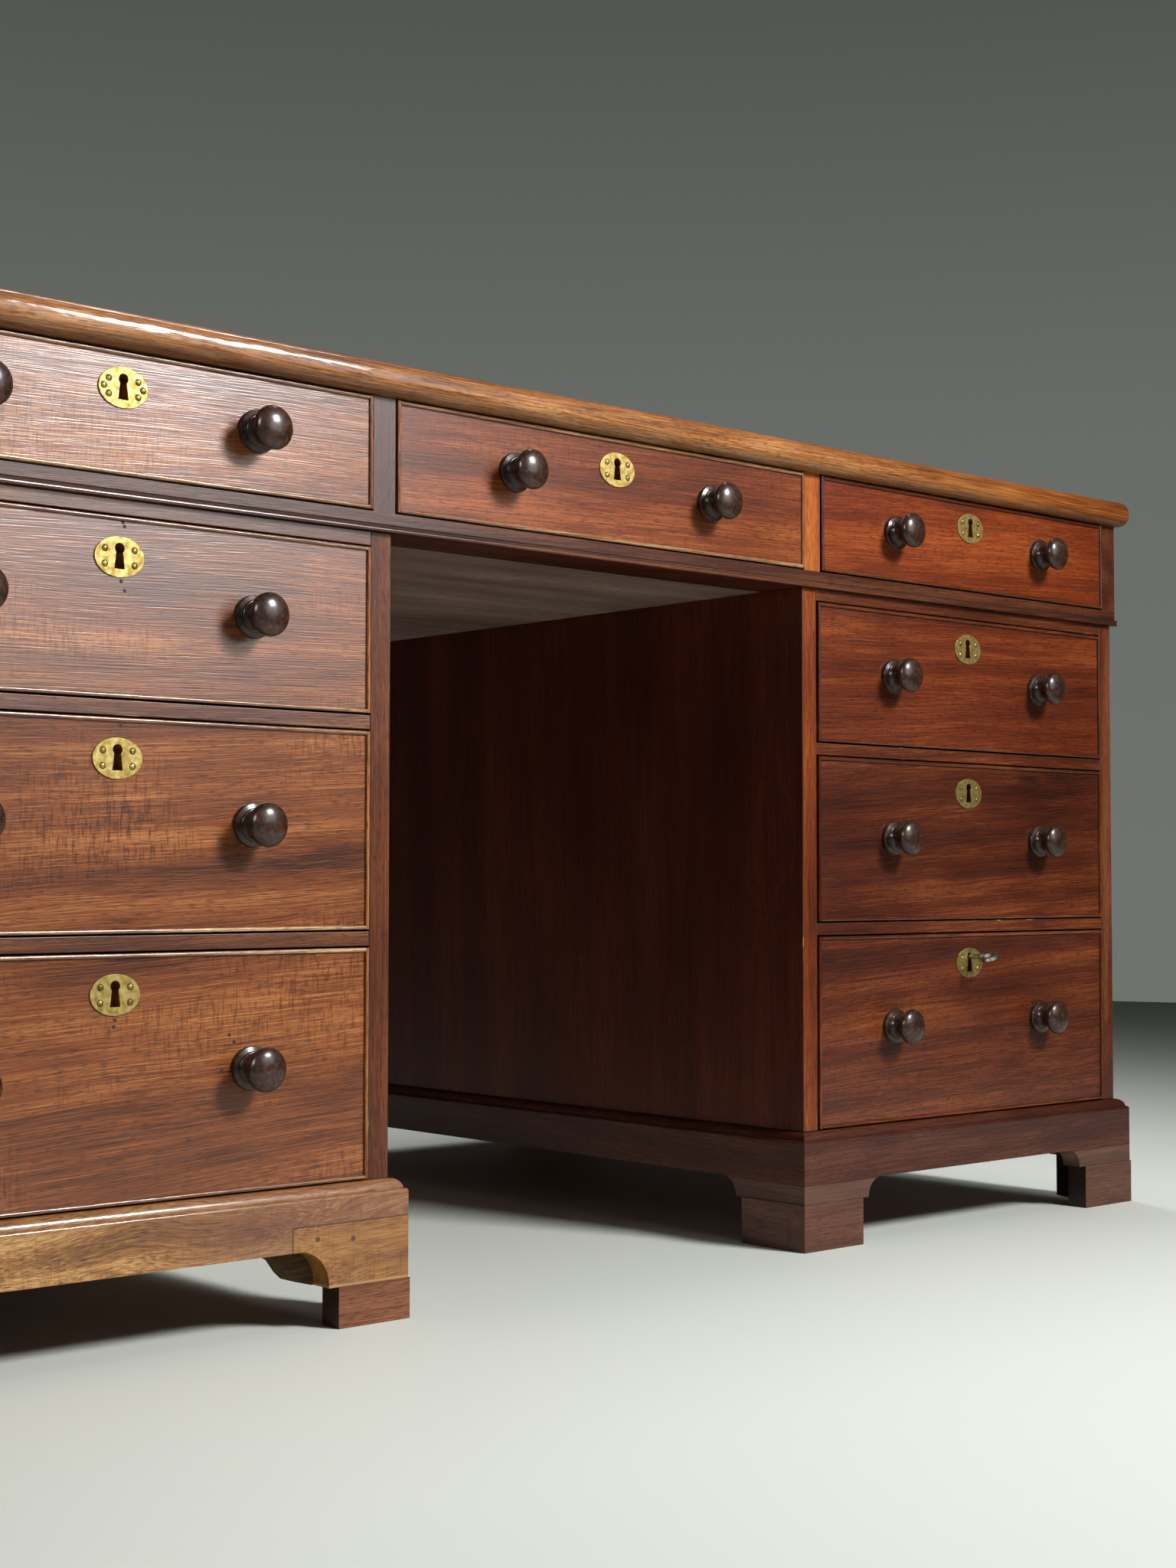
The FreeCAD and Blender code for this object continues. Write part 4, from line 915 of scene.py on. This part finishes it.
def grey_room():
    """World: a grey wall that grows darker upwards, and a dim even light on the desk. Polish and metal
    mirror the wall only where it is lit, behind the desk."""
    world = bpy.data.worlds.new("grey_room")
    world.use_nodes = True
    tree = world.node_tree
    tree.nodes.clear()
    coords = add(tree, "ShaderNodeTexCoord").outputs["Generated"]
    direction = add(tree, "ShaderNodeSeparateXYZ", {}, {"Vector": coords})
    wall = add(tree, "ShaderNodeValToRGB", {}, {"Fac": direction.outputs["Z"]}, [
        (0.0, "#6f736f"), (0.37, "#535550"), (0.2, "#696b66")])
    ahead = add(tree, "ShaderNodeVectorMath", {"operation": "DOT_PRODUCT"}, {
        0: coords, 1: LIT_WALL}).outputs["Value"]
    lit = add(tree, "ShaderNodeMapRange", {}, {"Value": ahead, "From Min": 0.55, "From Max": 0.9})
    ray = add(tree, "ShaderNodeLightPath").outputs
    mirrored = add(tree, "ShaderNodeMath", {"operation": "MULTIPLY"}, {
        0: ray["Is Glossy Ray"], 1: lit.outputs["Result"]}).outputs[0]
    seen = add(tree, "ShaderNodeMath", {"operation": "MAXIMUM"}, {
        0: ray["Is Camera Ray"], 1: mirrored}).outputs[0]
    colour = add(tree, "ShaderNodeMix", {"data_type": "RGBA"}, {
        "Factor": seen, "A": linear("#2a2b29"), "B": wall.outputs["Color"]}).outputs["Result"]
    room = add(tree, "ShaderNodeBackground", {}, {"Color": colour, "Strength": 1.0})
    add(tree, "ShaderNodeOutputWorld", {}, {"Surface": room.outputs["Background"]})
    bpy.context.scene.world = world


def light_studio():
    soft_lamp("front_window", at=(0.85, -2.6, 1.95), towards=(-0.5, -0.45, 0.4),
              width=0.65, height=0.65, watts=43, spread=115)
    soft_lamp("side_window", at=(0.85, -3.0, 1.22), towards=(-0.4, -0.45, 0.7),
              width=1.5, height=0.95, watts=14, lighting=False)
    soft_lamp("left_window", at=(-2.6, -2.6, 1.9), towards=(0.2, -0.45, 0.4),
              width=1.0, height=1.0, watts=58, lighting=False)
    soft_lamp("ceiling", at=(0.0, -1.0, 3.1), towards=(0.0, -1.0, 0.0),
              width=1.8, height=1.8, watts=5, spread=120, mirrored=False)
    soft_lamp("roof_light", at=(0.75, 0.14, 3.0), towards=(0.5, 0.0, 0.0),
              width=1.4, height=0.2, watts=9, spread=120)
    soft_lamp("rear_fill", at=(1.7, 2.6, 2.4), towards=(0.0, 0.5, 0.4),
              width=1.6, height=1.4, watts=12, spread=70, mirrored=False)
    grey_room()


# The photograph's camera, solved from the desk's straight edges for a picture of 1536 by 2048
CAMERA_PLACE = (-1.3368, -1.9467, 0.3562)
CAMERA_YAW = 41.594
CAMERA_PITCH = 2.456
CAMERA_ROLL = 0.064
CAMERA_LENS_MM = 51.02
CAMERA_LONG_SIDE_MM = 36


def set_camera():
    lens = bpy.data.cameras.new("photo_camera")
    lens.lens = CAMERA_LENS_MM
    lens.sensor_width = CAMERA_LONG_SIDE_MM
    camera = bpy.data.objects.new("photo_camera", lens)
    bpy.context.scene.collection.objects.link(camera)
    camera.location = CAMERA_PLACE
    turn = Euler((math.radians(90 + CAMERA_PITCH), 0, math.radians(-CAMERA_YAW)), "XYZ").to_matrix()
    camera.rotation_euler = (turn @ Matrix.Rotation(math.radians(CAMERA_ROLL), 3, "Z")).to_euler()
    bpy.context.scene.camera = camera


lay_floor()
light_studio()
set_camera()
bpy.context.scene.view_settings.view_transform = "Standard"
